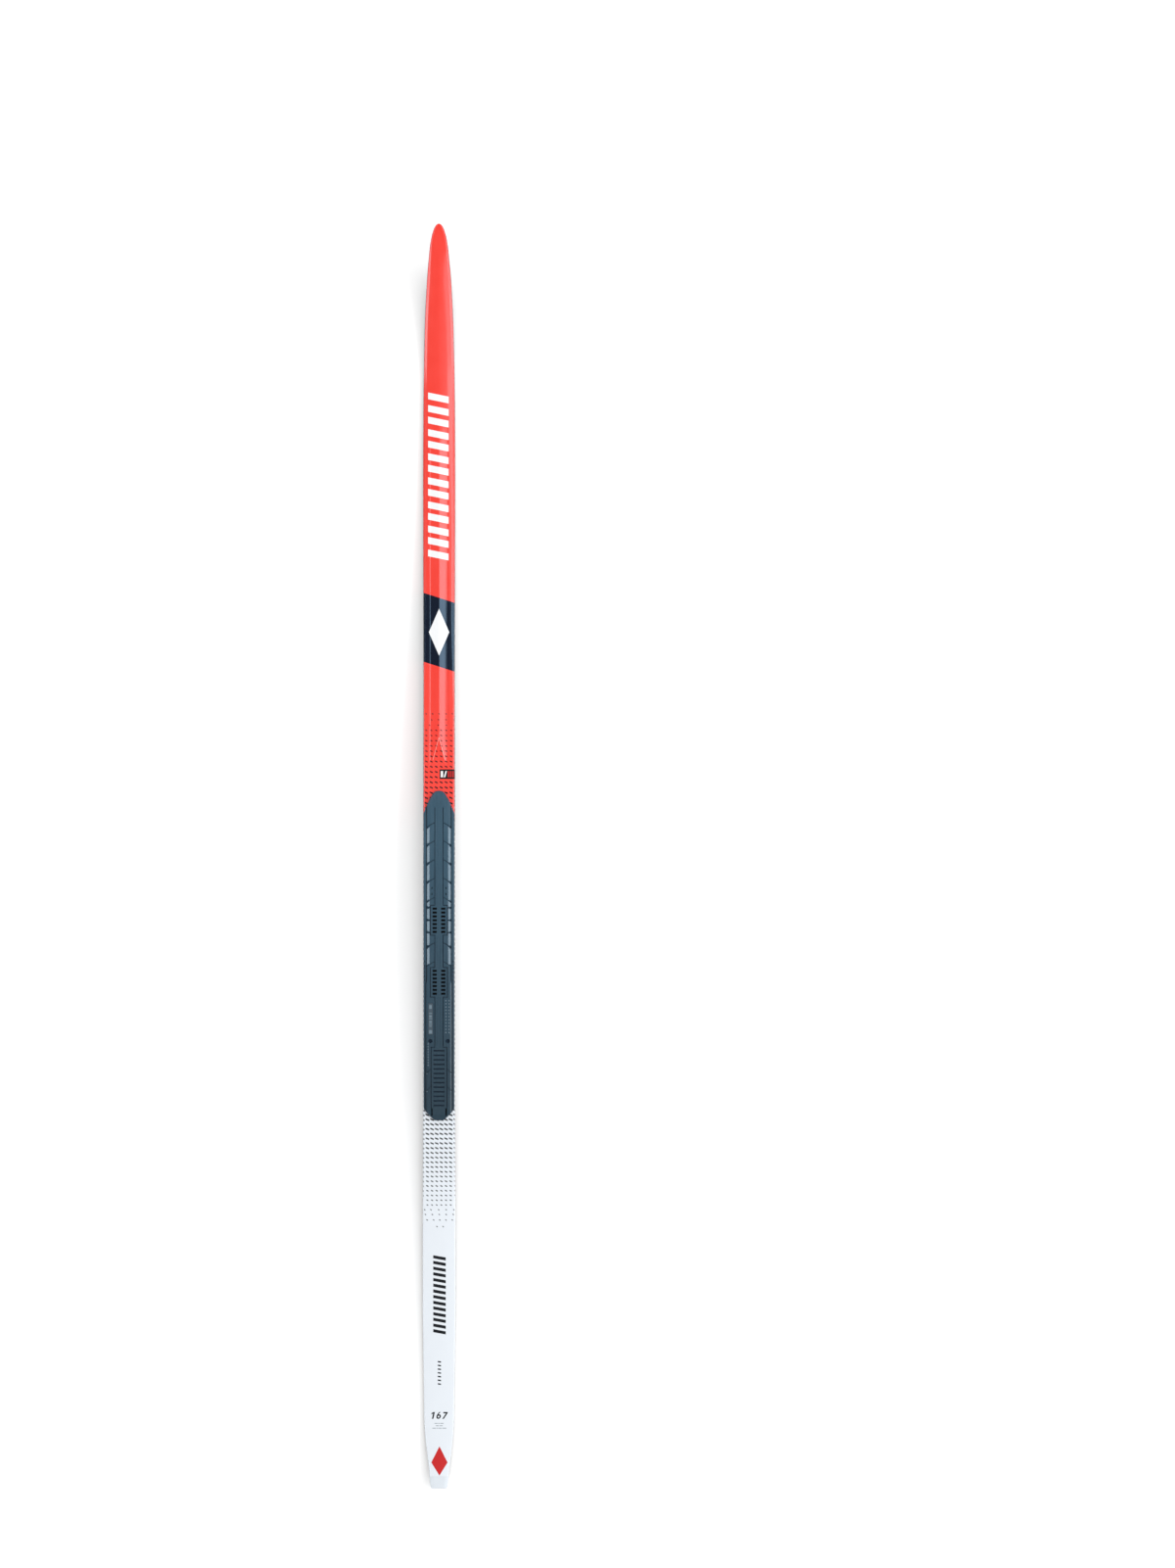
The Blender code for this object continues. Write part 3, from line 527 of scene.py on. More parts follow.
def cap_height(s, x, shape=None):
    """Height of the cap over the base at a point, with softened creases and a round edge."""
    shape = shape or cap_shape(s)
    x = abs(x)
    edge, high, chamfer = shape["edge"], shape["high"], shape["chamfer"]
    height = shape["flat"] + shape["crown"] * (1 - min(x / edge, 1.0) ** 2)
    if shape["ridge"]:
        height += sum(relief(shape, x + d) for d in (-CREASE, 0, CREASE)) / 3 * shape["ridge"]
    if chamfer and x > edge - chamfer:
        height -= shape["drop"] * min((x - edge + chamfer) / chamfer, 1.0) ** CHAMFER_CURVE
    if x > edge:
        across = min((x - edge) / high, 1.0)
        height -= high * (1 - math.sqrt(1 - across * across))
    return height


def cap_points(s):
    """The right half of the cap's outline from the middle to the foot, as (x, h).

    The number of points is the same at every station.
    """
    shape = cap_shape(s)
    crest, valley, step, edge = (shape[k] for k in ("crest", "valley", "step", "edge"))
    start = edge - shape["chamfer"]
    soft = min(0.4, 0.05 * valley)      # from a crease to the points that hold it
    xs = [0.0, crest * 0.6, crest, crest + soft, crest + 0.5 * (valley - crest),
          valley - soft, valley - 0.3 * soft, valley, step, step + soft]
    if crest > valley - 2.5 * soft:
        xs = [valley * k / 8 for k in range(8)] + [step, step + soft]
    xs += [xs[-1] + (start - xs[-1]) * t for t in (0.33, 0.66, 0.92)]
    xs += [start + (edge - start) * t + 0.04 * (1 - t) for t in (0.0, 0.25, 0.5, 0.75, 1.0)]
    points = [(x, cap_height(s, x, shape)) for x in xs]
    high, top = shape["high"], shape["flat"] - shape["drop"]
    for k in range(1, ROUND_STEPS + 1):
        angle = math.radians(90 / ROUND_STEPS * k)
        points.append((edge + high * math.sin(angle), top - high * (1 - math.cos(angle))))
    points.append((shape["foot"], CAP_FOOT))
    return points


def slant(s):
    """How far a row of the cap's mesh is turned at a station, to follow the navy band.

    The turn is whole up to 6 mm past the band and gone at 70 mm.
    """
    middle = (NAVY[0] + NAVY[1]) / 2
    reach = NAVY[1] - middle
    return NAVY_SLANT * (1 - ramp(abs(s - middle), (reach + 6, reach + 70)))


def cap_row(s):
    """One ring of the cap: its upper side from left to right, then its inside."""
    right = cap_points(s)
    last = len(right) - 1
    turn = slant(s)
    row = []
    for side, i in [(-1, last - k) for k in range(last)] + [(1, k) for k in range(last + 1)]:
        station = s + turn * side * right[i][0]
        x, h = cap_points(station)[i] if turn else right[i]
        row.append(place(station, side * x, h))
    shape = cap_shape(s)
    wall, under = min(CAP, 0.4 * shape["foot"]), shape["flat"] - CAP
    foot, shoulder = shape["foot"] - wall, shape["shoulder"] - wall
    for x, h in mirrored([(foot, CAP_FOOT), (shoulder, under - 0.4), (0.9 * shoulder, under)]):
        row.append(place(s + turn * x, x, h))
    return row


def build_cap():
    stations = run(GUARD, LENGTH - 0.1) + between(RIDGE_RUNOUT[0], RIDGE_HIP[1] + 2, 1.4)
    edges = (*NAVY, RED_FROM)
    stations = [s for s in stations if min(abs(s - e) for e in edges) > 1.5]
    stations = sorted([*stations, *edges])
    upper = 2 * len(cap_points(LENGTH / 2)) - 1
    colours = (RED, NAVY_PAINT, WHITE, LINER)

    def paint(row, i):
        middle = (stations[row] + stations[row + 1]) / 2
        if i >= upper:
            return colours.index(LINER)
        if middle < RED_FROM:
            return colours.index(WHITE)
        return colours.index(NAVY_PAINT if NAVY[0] < middle < NAVY[1] else RED)
    loft("cap", [cap_row(s) for s in stations], colours, ("topsheet",), paint)


# ---- print on the cap ---------------------------------------------------------------------
def lay(name, shapes, colour, put, thick, lift=INK, folds=()):
    """Flat shapes in (x, s), cut to a grid and made thick; put(x, s, lift) places a point."""
    flat = bmesh.new()
    for outline in shapes:
        flat.faces.new([flat.verts.new((x, s, 0.0)) for x, s in outline])
    xs = [v.co.x for v in flat.verts]
    ss = [v.co.y for v in flat.verts]
    cuts = [((x, 0, 0), (1, 0, 0)) for x in folds if min(xs) < x < max(xs)]
    cuts += [((0, s, 0), (0, 1, 0)) for s in between(min(ss), max(ss), PRINT_SPACING)[1:-1]]
    for point, normal in cuts:
        cut_across(flat, point, normal, dist=1e-4)
    raise_copy(flat, 1.0)
    for vert in flat.verts:
        x, s, z = vert.co
        vert.co = put(x, s, lift if z > 0.5 else lift - thick)
    finish_piece(name, flat, (colour,), angle=60)


def ink(name, shapes, colour, lift=INK):
    """Print on the cap, also cut where the cap bends across."""
    rims = between(13.6, 20.8, 0.4) + [CHANNEL, CHANNEL + CHANNEL_WALL]
    folds = PRINT_FOLDS + [side * x for side in (-1, 1) for x in rims]
    lay(name, shapes, colour,
        lambda x, s, up: place(s, x, cap_height(s, x) + up), INK_THICK, lift, folds)


def bar(x0, x1, s0, s1, lean=0.0):
    """A parallelogram from x0 to x1; lean moves its right side along s."""
    return [(x0, s0), (x1, s0 + lean), (x1, s1 + lean), (x0, s1)]


def dots_at(places, across, along):
    """Slanted halftone dots at (x, s), cut off where the cap's top ends.

    Here and below a dot's sizes are those of the smallest dot plus what it has grown by.
    """
    shapes = []
    for x, s in places:
        limit = cap_wall(s)[1] - EDGE_MARGIN
        left, right = max(x - across / 2, -limit), min(x + across / 2, limit)
        if right - left > SMALLEST_DOT:
            start = s + DOT_FALL * (x - left)
            shapes.append(bar(left, right, start - along / 2, start + along / 2,
                              -DOT_FALL * (right - left)))
    return shapes


def wall_point(side, s, h, lift):
    """A point on or just off the cap's side wall at height h."""
    foot, shoulder = cap_wall(s)
    x = foot + (shoulder - foot) * (h - SKIRT_LOW) / (thickness(s) - SKIRT_LOW) + lift
    return place(s, side * x, h)


def wall_dots():
    """The halftones go on down the cap's side walls, as (height, station)."""
    shapes = []
    for s in row_stations(*WALL_ROWS):
        if s < RED_FROM:
            grown = share_of(s, *REAR_FADE) ** 0.7
            across, along = 2.0 + 3.0 * grown, 1.4 + 0.75 * grown + 0.006 * max(s - 500, 0.0)
        else:
            grown = share_of(s, *FRONT_FADE)
            across, along = 2.0 + 2.4 * grown, 1.2 + 0.85 * grown
        for drop in WALL_DROPS:
            u = thickness(s) - drop
            low, high = max(u - across / 2, SKIRT_LOW + 0.3), u + across / 2
            if high - low > 2 * SMALLEST_DOT:
                shapes.append(bar(low, high, s - along / 2, s + along / 2,
                                  -WALL_DOT_FALL * (high - low)))
    return shapes


def row_stations(count, first, pitch):
    return [first + pitch * row for row in range(count)]


def all_dots():
    """Both halftones, the loose dots where they run out and the dots beside the plate."""
    dots = []
    for s in row_stations(*FRONT_ROWS):
        grown = share_of(s, *FRONT_FADE)
        beside = BADGE[2] - BADGE_CLEAR < s < BADGE[3] + BADGE_CLEAR
        places = [(x, s) for x in FRONT_XS if not (beside and x > BADGE[0] - BADGE_CLEAR)]
        dots += dots_at(places, 2.3 + 2.2 * grown, 1.3 + 0.75 * grown)
    for s, xs in FIRST_DOTS:
        dots += dots_at([(x, s) for x in xs], 1.9, 1.2)
    for s in row_stations(*REAR_ROWS):
        grown = share_of(s, *REAR_FADE)
        dots += dots_at([(x, s) for x in REAR_XS], 2.0 + 3.0 * grown ** 0.7, 1.4 + 0.75 * grown)
    for s, xs in LAST_DOTS:
        dots += dots_at([(x, s) for x in xs], 1.8, 1.3)
    for row, s in enumerate(row_stations(*EDGE_ROWS)):
        dots += dots_at([(x, s) for x in EDGE_XS], 5.2, 2.15 + 0.055 * row)
    return dots


def bar_pairs(first, pitch, second, left, right, thick, lean):
    """Seven pairs of slanted bars in place of lettering."""
    starts = [first + unit * pitch + k * second for unit in range(7) for k in (0, 1)]
    return [bar(left, right, s, s + thick, lean) for s in starts]


def diamond(x, s, half, front, rear):
    return [(x, s + front), (x - half, s), (x, s - rear), (x + half, s)]


def build_badge():
    low, high = BADGE_BARS
    ink("badge_ground", [bar(*BADGE)], BLACK_INK)
    ink("badge_white", [bar(2.4, 5.4, low, high),
                        [(6.4, low), (8.2, low), (10.4, high), (8.6, high)]],
        WHITE_INK, 2 * INK)
    ink("badge_red", [bar(11.6 + 3.0 * k, 13.6 + 3.0 * k, low, high) for k in range(3)],
        RED_INK, 2 * INK)


def build_hip_highlights():
    """Painted highlights: pale red lines along the two crests that the ridge ends in."""
    reach = HIP_SPLIT * CHANNEL / (RIDGE_HIP[1] - RIDGE_HIP[0])
    crest = [(reach * (RIDGE_HIP[1] - s), s) for s in (RIDGE_HIP[1], HIP_HIGHLIGHT_END)]
    ink("painted_hip_highlights", [[(side * (x - HIP_HIGHLIGHT_HALF), s) for x, s in crest]
                      + [(side * (x + HIP_HIGHLIGHT_HALF), s) for x, s in reversed(crest)]
                      for side in (-1, 1)], PAINTED_CREST_HIGHLIGHT, HIP_HIGHLIGHT_LIFT)


def build_print():
    ink("print_dots", all_dots(), BLACK_INK)
    for side, word in ((-1, "left"), (1, "right")):
        lay("print_wall_" + word, wall_dots(), BLACK_INK,
            lambda u, s, out: wall_point(side, s, u, out), thick=0.25)
    build_badge()
    build_hip_highlights()
    bars = bar_pairs(1231.6, 31.9, 16.6, left=-14.6, right=12.6, thick=8.9, lean=-5.6)
    ink("print_front_bars", bars, WHITE_INK)
    ink("print_front_mark", [diamond(0.0, 1131.0, 13.5, 31.0, 31.0)], WHITE_INK)
    bars = bar_pairs(206.9, 15.1, 7.4, left=-7.8, right=8.8, thick=4.1, lean=-3.0)
    ink("print_rear_bars", bars, BLACK_INK)
    ticks = [bar(-1.8, 2.5, 137.6 + 4.9 * k, 139.4 + 4.9 * k, -0.6) for k in range(7)]
    ink("print_ticks", ticks, BLACK_INK)
    dashes = [bar(left, right, s, s + SMALL_PRINT_HIGH) for s, cells in SMALL_PRINT
              for left, right in cells]
    ink("print_small_lines", dashes, GREY_INK)
    ink("print_tail_mark", [diamond(0.4, 33.8, 10.8, 21.4, 17.4)], RED_INK)
    ink("print_length", digits("167", -12.0, 91.8, width=5.9, height=9.2, pitch=7.75), BLACK_INK)


# Outlines of the numerals in a cell of 1 by 1.
NUMERALS = {
    "1": [[(0.40, 0.0), (0.74, 0.0), (0.74, 1.0), (0.40, 1.0)],
          [(0.06, 0.62), (0.40, 0.78), (0.40, 1.0), (0.06, 0.84)]],
    "7": [[(0.04, 0.80), (1.0, 0.80), (1.0, 1.0), (0.04, 1.0)],
          [(0.10, 0.0), (0.46, 0.0), (1.0, 0.80), (0.66, 0.80)]],
}
SIX_STEM = ([(0.0, 0.33), (0.01, 0.47), (0.06, 0.61), (0.16, 0.76), (0.30, 0.90), (0.40, 1.0)],
            [(0.0, 0.33), (0.047, 0.469), (0.179, 0.583), (0.313, 0.636), (0.52, 0.84),
             (0.76, 1.0)])


def six():
    """The 6: a ring and the stem that grows out of its left side."""
    ring = [[(0.5 + across * math.cos(math.radians(22.5 * k)),
              0.33 + along * math.sin(math.radians(22.5 * k))) for k in range(17)]
            for across, along in ((0.5, 0.33), (0.2, 0.14))]
    shapes = []
    for outer, inner in (ring, SIX_STEM):
        for k in range(len(outer) - 1):
            corners = [outer[k], outer[k + 1], inner[k + 1], inner[k]]
            shapes.append(corners[1:] if corners[0] == corners[3] else corners)
    return shapes


def digits(text, x, s, width, height, pitch):
    """Plain leaning numerals."""
    shapes = []
    for number, letter in enumerate(text):
        for outline in six() if letter == "6" else NUMERALS[letter]:
            shapes.append([(x + number * pitch + u * width + NUMERAL_LEAN * v * height,
                            s + v * height) for u, v in outline])
    return shapes


# ---- layers below the cap -----------------------------------------------------------------
def rows_of(stations, outline):
    return [[place(s, x, h) for x, h in outline(s)] for s in stations]


def base_outline(s):
    edge = half_width(s)
    groove = min(GROOVE_WIDTH / 2, 0.4 * edge)
    depth = 0.03 + (GROOVE_DEPTH - 0.03) * (1 - ramp(s, GROOVE_END))
    bevel = min(0.25, 0.2 * edge)
    right = [(0.55 * groove, depth), (0.8 * groove, 0.93 * depth), (0.95 * groove, 0.5 * depth),
             (groove, 0.0), (edge - bevel, 0.0), (edge, bevel), (edge, BASE_SEAM)]
    return [(-x, h) for x, h in reversed(right)] + right


def fibre_outline(s):
    edge = half_width(s) - FIBRE_SETBACK
    return [(-edge, BASE_SEAM), (edge, BASE_SEAM), (edge, FIBRE_SEAM), (-edge, FIBRE_SEAM)]


def filler_outline(s):
    """The fillers at both ends: they carry on the side line and fill the cap."""
    outer = half_width(s) - LINE_SETBACK
    inner = 0.9 * (cap_wall(s)[1] - min(CAP, 0.4 * outer)) - 0.02
    return mirrored([(inner, FIBRE_SEAM), (outer, FIBRE_SEAM), (outer, STRIP_TOP),
                     (inner, STRIP_TOP), (inner, thickness(s) - CAP - 0.02)])


def line_outline(side):
    """The side line between the two fillers."""
    def outline(s):
        outer, inner = half_width(s) - LINE_SETBACK, half_width(s) - STRIP_WIDTH
        return [(side * inner, FIBRE_SEAM), (side * outer, FIBRE_SEAM),
                (side * outer, STRIP_TOP), (side * inner, STRIP_TOP)]
    return outline


def build_layers():
    loft("base", rows_of(run(GUARD, LENGTH - 0.02), base_outline), (BASE_BLACK,),
         ("running_base",))
    loft("laminate", rows_of(run(GUARD, LENGTH - 0.3), fibre_outline), (FIBRE,),
         ("base_laminate",))
    for word, start, end in (("tail", GUARD + 0.05, CORE[0]), ("tip", CORE[1], LENGTH - 0.3)):
        loft(word + "_filler", rows_of(run(start, end), filler_outline), (STRIP,),
             (word + "_spacer",))
    for side, word in ((-1, "left"), (1, "right")):
        loft("strip_" + word, rows_of(run(CORE[0] + GAP, CORE[1] - GAP), line_outline(side)),
             (STRIP,), ("edge_strip_" + word,))


def guard_outline(s):
    """The end piece shows its full section behind GUARD and is a tongue in the cap ahead."""
    shown = s < GUARD
    edge = half_width(s) - (0.0 if shown else CAP_SETBACK + CAP + GAP)
    top = thickness(s) + (CROWN if shown else -(CAP + GAP))
    low = 0.0 if shown else CORE_LOW
    return mirrored([(edge - 0.3, low), (edge, low + 0.3), (edge, top - GUARD_ROUND),
                     (edge - 0.3 * GUARD_ROUND, top - 0.35 * GUARD_ROUND),
                     (edge - GUARD_ROUND, top), (0.5 * edge, top)])


def build_guard():
    stations = between(0.0, 6.0, 0.6) + between(7.0, GUARD - 0.1, 1.3)
    stations += [GUARD + 0.01, 22.0, 30.0]
    loft("guard", rows_of(stations, guard_outline), (GUARD_WHITE,), ("tail_guard",),
         angle=50)


# ---- binding plate --------------------------------------------------------------------------
def steps(middle, half):
    """The four grid lines of a groove or pocket: the foot and the head of both walls."""
    return [middle - half - WALL, middle - half + WALL, middle + half - WALL, middle + half + WALL]


def window_stations():
    return [first - row * pitch for first, pitch in WINDOW_BLOCKS for row in range(WINDOW_ROWS)]


def frame_boxes():
    """Front, rear and half width of the three frames."""
    boxes = []
    for first, pitch in WINDOW_BLOCKS:
        last = first - (WINDOW_ROWS - 1) * pitch
        boxes.append((first + WINDOW_MARGIN, last - WINDOW_MARGIN, WINDOW_FRAME))
    return boxes + [(RIB_BLOCK[0] + 1.5, RIB_BLOCK[1], RIB_FRAME)]


def thinned(lines):
    """Sorted grid lines without those that nearly coincide."""
    lines = sorted(lines)
    return [x for i, x in enumerate(lines) if i == 0 or x - lines[i - 1] > 0.03]


def plate_rows():
    """Stations of the plate's mesh, with lines at every wall."""
    rows = between(*PLATE, 3.0) + between(PLATE[1] - 30, PLATE[1], 1.5)
    rows += [PLATE[0] + RIM_INSET, PLATE[1] - RIM_INSET]
    rows += between(PIN_HOLE[1] - PIN_HOLE[2], PIN_HOLE[1] + PIN_HOLE[2], 0.5)
    walls = []
    for stations, half, near in ((CHEVRONS + REAR_CHEVRONS, LINE / 2, NEAR_CHEVRON),
                                 (BRIDGES, BRIDGE / 2, NEAR_BRIDGE)):
        for s in stations:
            walls += steps(s, half)
            rows += [s + side * d for side in (-1, 1) for d in near]
    for front, rear, _ in frame_boxes():
        walls += steps(front, LINE / 2) + steps(rear, LINE / 2)
    for rib in range(RIB_COUNT):
        s = RIB_BLOCK[0] - (rib + 0.5) * RIB_PITCH
        walls += steps(s, RIB_GAP * RIB_PITCH / 2)
        rows += [s + RIB_GAP * RIB_PITCH * d for d in NEAR_RIB_GAP]
    for stations, long in ((window_stations(), WINDOW[1]), (TOOTH_STATIONS, TOOTH[1]),
                           (MARK_STATIONS, MARK[1])):
        for s in stations:
            walls += steps(s, long / 2)
    for rear, front in (LABEL_BOX[2:], (REAR_SLOT[3], REAR_SLOT[2])):
        walls += steps((front + rear) / 2, (front - rear) / 2)
    rows = [s for s in rows if min(abs(s - w) for w in walls) > CLEAR] + walls
    return thinned(s for s in rows if PLATE[0] <= s <= PLATE[1])


def plate_columns():
    """Half of the plate's grid lines across."""
    walls = []
    for x, half in ((RAIL_LINE, RAIL_LINE_HALF), (CHANNEL_X, LINE / 2), (RIB_FRAME, LINE / 2),
                    (WINDOW_FRAME, LINE / 2), (WINDOW_X, WINDOW[0] / 2),
                    (MARK[0], MARK_WIDTH / 2), (SIDE_LINE, SIDE_GROOVE / 2),
                    (TOOTH[0], TOOTH_HALF)):
        walls += steps(x, half)
    for x in (RIB_HALF, -LABEL_BOX[0], -LABEL_BOX[1]):
        walls += [x - WALL, x + WALL]
    return thinned(BENDS + walls)


def bevel_share(s):
    """1 along the bevelled strips beside the scales, falling to 0 round their ends."""
    for front, rear in zip(STRIP_ENDS, STRIP_ENDS[1:]):
        if rear < s < front:
            near = min(front - s, s - rear) - STRIP_GAP
            left = 1 - share_of(near, 0.0, STRIP_ROUND)
            return math.sqrt(1 - left * left)
    return 0.0


def at_one_of(stations, s, half):
    return any(abs(s - station) < half for station in stations)


def scale_height(x, s):
    """Height and kind of the plate's body between its side grooves; x is never negative."""
    z, kind = PLATE_BODY, SURFACE
    if s > BODY_STEP:
        share = share_of(x, BEVEL_FROM, SIDE_LINE - SIDE_GROOVE / 2)
        z -= BEVEL_DEEP * share * bevel_share(s) + SCALE_FALL * share
    elif x > REAR_FALL_FROM:
        z -= REAR_FALL * (x - REAR_FALL_FROM)
    lined = framed = False
    for front, rear, half in frame_boxes():
        framed = framed or rear < s < front
        across = abs(x - half) < LINE / 2 and rear - LINE / 2 < s < front + LINE / 2
        ends = (front,) if half == RIB_FRAME else (front, rear)
        along = (min(abs(s - end) for end in ends) < LINE / 2
                 and CHANNEL_X - LINE / 2 < x < half + LINE / 2)
        lined = lined or across or along
    if not framed and abs(x - CHANNEL_X) < LINE / 2 and RIB_BLOCK[0] < s < CHANNEL_END:
        lined = True
    for start, stations, half in ((CHANNEL_X, CHEVRONS, LINE / 2),
                                  (RIB_FRAME, REAR_CHEVRONS, LINE / 2),
                                  (WINDOW_FRAME, BRIDGES, BRIDGE / 2)):
        lined = lined or (x > start and at_one_of(stations, s, half))
    if lined:
        z, kind = z - LINE_DEPTH, GROOVE
    elif not framed and abs(x - RAIL_LINE) < RAIL_LINE_HALF and s > RAIL_LINE_FROM:
        z -= RAIL_LINE_DEPTH
    if abs(x - WINDOW_X) < WINDOW[0] / 2 and at_one_of(window_stations(), s, WINDOW[1] / 2):
        z, kind = PLATE_BODY - WINDOW_DEEP, HOLE
    if abs(x - MARK[0]) < MARK_WIDTH / 2 and at_one_of(MARK_STATIONS, s, MARK[1] / 2):
        z, kind = PLATE_BODY - MARK_DEEP, HOLE
    return z, kind


def plate_relief(x, s):
    """Height and kind of the plate's surface at a point of its unbent plan."""
    left, x = x < 0, abs(x)
    if x > SIDE_LINE + SIDE_GROOVE / 2:
        toothed = abs(x - TOOTH[0]) < TOOTH_HALF and at_one_of(TOOTH_STATIONS, s, TOOTH[1] / 2)
        return (PLATE_FLANGE - TOOTH_DEEP, GROOVE) if toothed else (PLATE_FLANGE, SURFACE)
    if x > SIDE_LINE - SIDE_GROOVE / 2:
        return SIDE_FLOOR, GROOVE
    z, kind = scale_height(x, s)
    if RIB_BLOCK[1] < s < RIB_BLOCK[0] and x < RIB_HALF:
        along = ((RIB_BLOCK[0] - s) / RIB_PITCH) % 1.0 - 0.5
        if abs(along) < RIB_GAP / 2:
            z, kind = z - RIB_DEEP, GROOVE
        else:
            z -= RIB_SLOPE * abs(along)
    hole_x, hole_s, radius = PIN_HOLE
    reach = math.hypot(x - hole_x, s - hole_s) / radius
    if reach < 1:
        z, kind = z - PIN_DEEP * (1 - reach ** 4), GROOVE
    slot_x, slot_width, slot_front, slot_rear = REAR_SLOT
    if slot_rear < s < slot_front and abs(x - slot_x) < slot_width:
        z, kind = z - SLOT_DEEP, HOLE
    if left and -LABEL_BOX[1] < x < -LABEL_BOX[0] and LABEL_BOX[2] < s < LABEL_BOX[3]:
        z -= LABEL_POCKET
    return z, kind


def plan_point(x, s):
    """Where a grid point lies in plan: rows follow the chevrons, the side groove steps out."""
    shares = sorted(SWEEP)
    share = 0.0
    for (a, low), (b, high) in zip(shares, shares[1:]):
        if a <= s <= b:
            share = low + (high - low) * (s - a) / (b - a)
    t = share_of(abs(x), CHANNEL_X if s > BODY_STEP else RIB_FRAME, SIDE_LINE)
    y = s - share * CHEVRON_FALL * t * (1 - CHEVRON_CURVE + CHEVRON_CURVE * t)
    reach = min(share_of(abs(x), *STEP_IN), share_of(abs(x), PLATE_HALF, STEP_OUT))
    return x + math.copysign(SIDE_STEP * reach * (1 - ramp(s, STEP_RUN)), x), y


def plate_sides():
    """The plate's outline on the right, from its front to its rear, as pairs of corners."""
    right = [(x, PLATE[1] - d) for x, d in OGIVE] + [(x, PLATE[0] + d) for x, d in REAR_CHAMFER]
    return [(*a, *b) for a, b in zip(right, right[1:])]


def deck(x, s, z):
    """Bend a point of the flat plate onto the cap."""
    front = 1 - END_THINNING * (1 - ramp(PLATE[1] - s, (0.0, THIN_FRONT)))
    rear = 1 - END_THINNING * (1 - ramp(s - PLATE[0], (0.0, THIN_REAR)))
    return place(s, x, thickness(s) + DECK + z * front * rear)


def plate_grid():
    """The plate's upper side, flat and not yet cut to its outline."""
    half = plate_columns()
    columns = [-x for x in reversed(half)] + half[1:]
    rows = plate_rows()
    flat = bmesh.new()
    grid = [[flat.verts.new((*plan_point(x, s), plate_relief(x, s)[0])) for x in columns]
            for s in rows]
    for r in range(len(rows) - 1):
        for i in range(len(columns) - 1):
            face = flat.faces.new((grid[r][i], grid[r][i + 1], grid[r + 1][i + 1],
                                   grid[r + 1][i]))
            middle = ((columns[i] + columns[i + 1]) / 2, (rows[r] + rows[r + 1]) / 2)
            # the kind picks the material: groove and hole faces get painted shade
            face.material_index = plate_relief(*middle)[1]
    return flat


def cut_outline(flat):
    """Cut the grid to the outline, then once more inside it, where the rim's bevel ends."""
    for ax, ay, bx, by in plate_sides():
        for side in (-1, 1):
            cut_across(flat, (side * ax, ay, 0), (side * (ay - by), bx - ax, 0),
                       clear_outer=True)
    for ax, ay, bx, by in plate_sides():
        if ax == bx:
            continue
        end = min(PLATE, key=lambda s: abs(s - ay))
        for side in (-1, 1):
            normal = Vector((side * (ay - by), bx - ax, 0)).normalized()
            near = [face for face in flat.faces if abs(face.verts[0].co.y - end) < END_REACH]
            cut_across(flat, Vector((side * ax, ay, 0)) - normal * RIM_INSET, normal, near)


def lower_rim(flat):
    sides = plate_sides()
    for vert in flat.verts:
        x, y, z = vert.co
        rim = min(distance_to(abs(x), y, *side) for side in sides)
        rim = min(rim, PLATE[1] - y, y - PLATE[0])
        vert.co.z = min(z, RIM_LOW + RIM_RISE * max(rim, 0.0))


def close_underside(flat):
    """A plain underside, cut across only so that it can bend with the cap."""
    under = [part for part in raise_copy(flat, 0.0) if isinstance(part, bmesh.types.BMFace)]
    under = bmesh.ops.dissolve_faces(flat, faces=under, use_verts=True)["region"]
    for s in between(*PLATE, UNDER_SPACING)[1:-1]:
        parts = cut_across(flat, (0, s, 0), (0, 1, 0), under)
        under = [part for part in parts if isinstance(part, bmesh.types.BMFace)
                 and part.calc_center_bounds().y > s]


def build_plate():
    solid = plate_grid()
    cut_outline(solid)
    lower_rim(solid)
    close_underside(solid)
    for vert in solid.verts:
        vert.co = deck(*vert.co)
    finish_piece("plate", solid, (PLATE_BLUE, GROOVE_SHADE_PAINT, HOLE_SHADE_PAINT),
                 ("binding_plate",), angle=24)


def distance_to(x, y, ax, ay, bx, by):
    """Distance of a point inside the outline from the line through two of its corners."""
    dx, dy = bx - ax, by - ay
    return abs((x - ax) * dy - (y - ay) * dx) / math.hypot(dx, dy)


def sticker_shapes():
    """Plain lines of different weight on the sticker, every other one shorter."""
    left, right, rear, _ = LABEL_BOX
    shapes = []
    for number, (start, long) in enumerate(STICKER_LINES):
        inset = 1.0 + 0.4 * (number % 2)
        shapes.append(bar(left + inset, right - inset, rear + start, rear + start + long))
    return shapes


def build_plate_print():
    top = PLATE_BODY - LABEL_POCKET + GAP + LABEL_THICKNESS
    lay("sticker_lines", sticker_shapes(), STICKER_INK,
        lambda x, s, up: deck(x, s, top + up), thick=0.1)
    ticks = [bar(x, x + 1.1, s, s + 1.6) for x in (8.6, 12.8) for s in between(603, 645, 4.2)]
    ticks += [bar(-14.9, -13.7, s, s + 1.4) for s in between(560, 588, 3.4)]
    ticks += [bar(side * 15.9 - 0.5, side * 15.9 + 0.5, s - 7.2, s - 6.0)
              for side in (-1, 1) for s in REAR_CHEVRONS]
    lay("plate_ticks", ticks, STICKER_INK,
        lambda x, s, up: deck(x, s, PLATE_BODY + up), thick=0.2)


# ---- carried-over CAD nodes ------------------------------------------------------------------
KEPT = {"core_stringer_left": WOOD, "core_stringer_centre": WOOD, "core_stringer_right": WOOD,
        "binding_reinforcement": REINFORCEMENT, "top_laminate": FIBRE, "plate_adhesive": GLUE,
        "plate_label": LABEL}


def paint_kept_nodes():
    for node, finish in KEPT.items():
        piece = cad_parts[node]
        piece.data.materials.clear()
        piece.data.materials.append(finish)


# ---- studio ----------------------------------------------------------------------------------
VIEW_CENTRE = Vector((0.1961, 0.0961, 0.02))
VIEW_HEIGHT = 2.071         # metres of floor from the picture's foot to its top
CAMERA_DISTANCE = 24.0
SENSOR = 36.0
FLOOR_HALF = 150.0


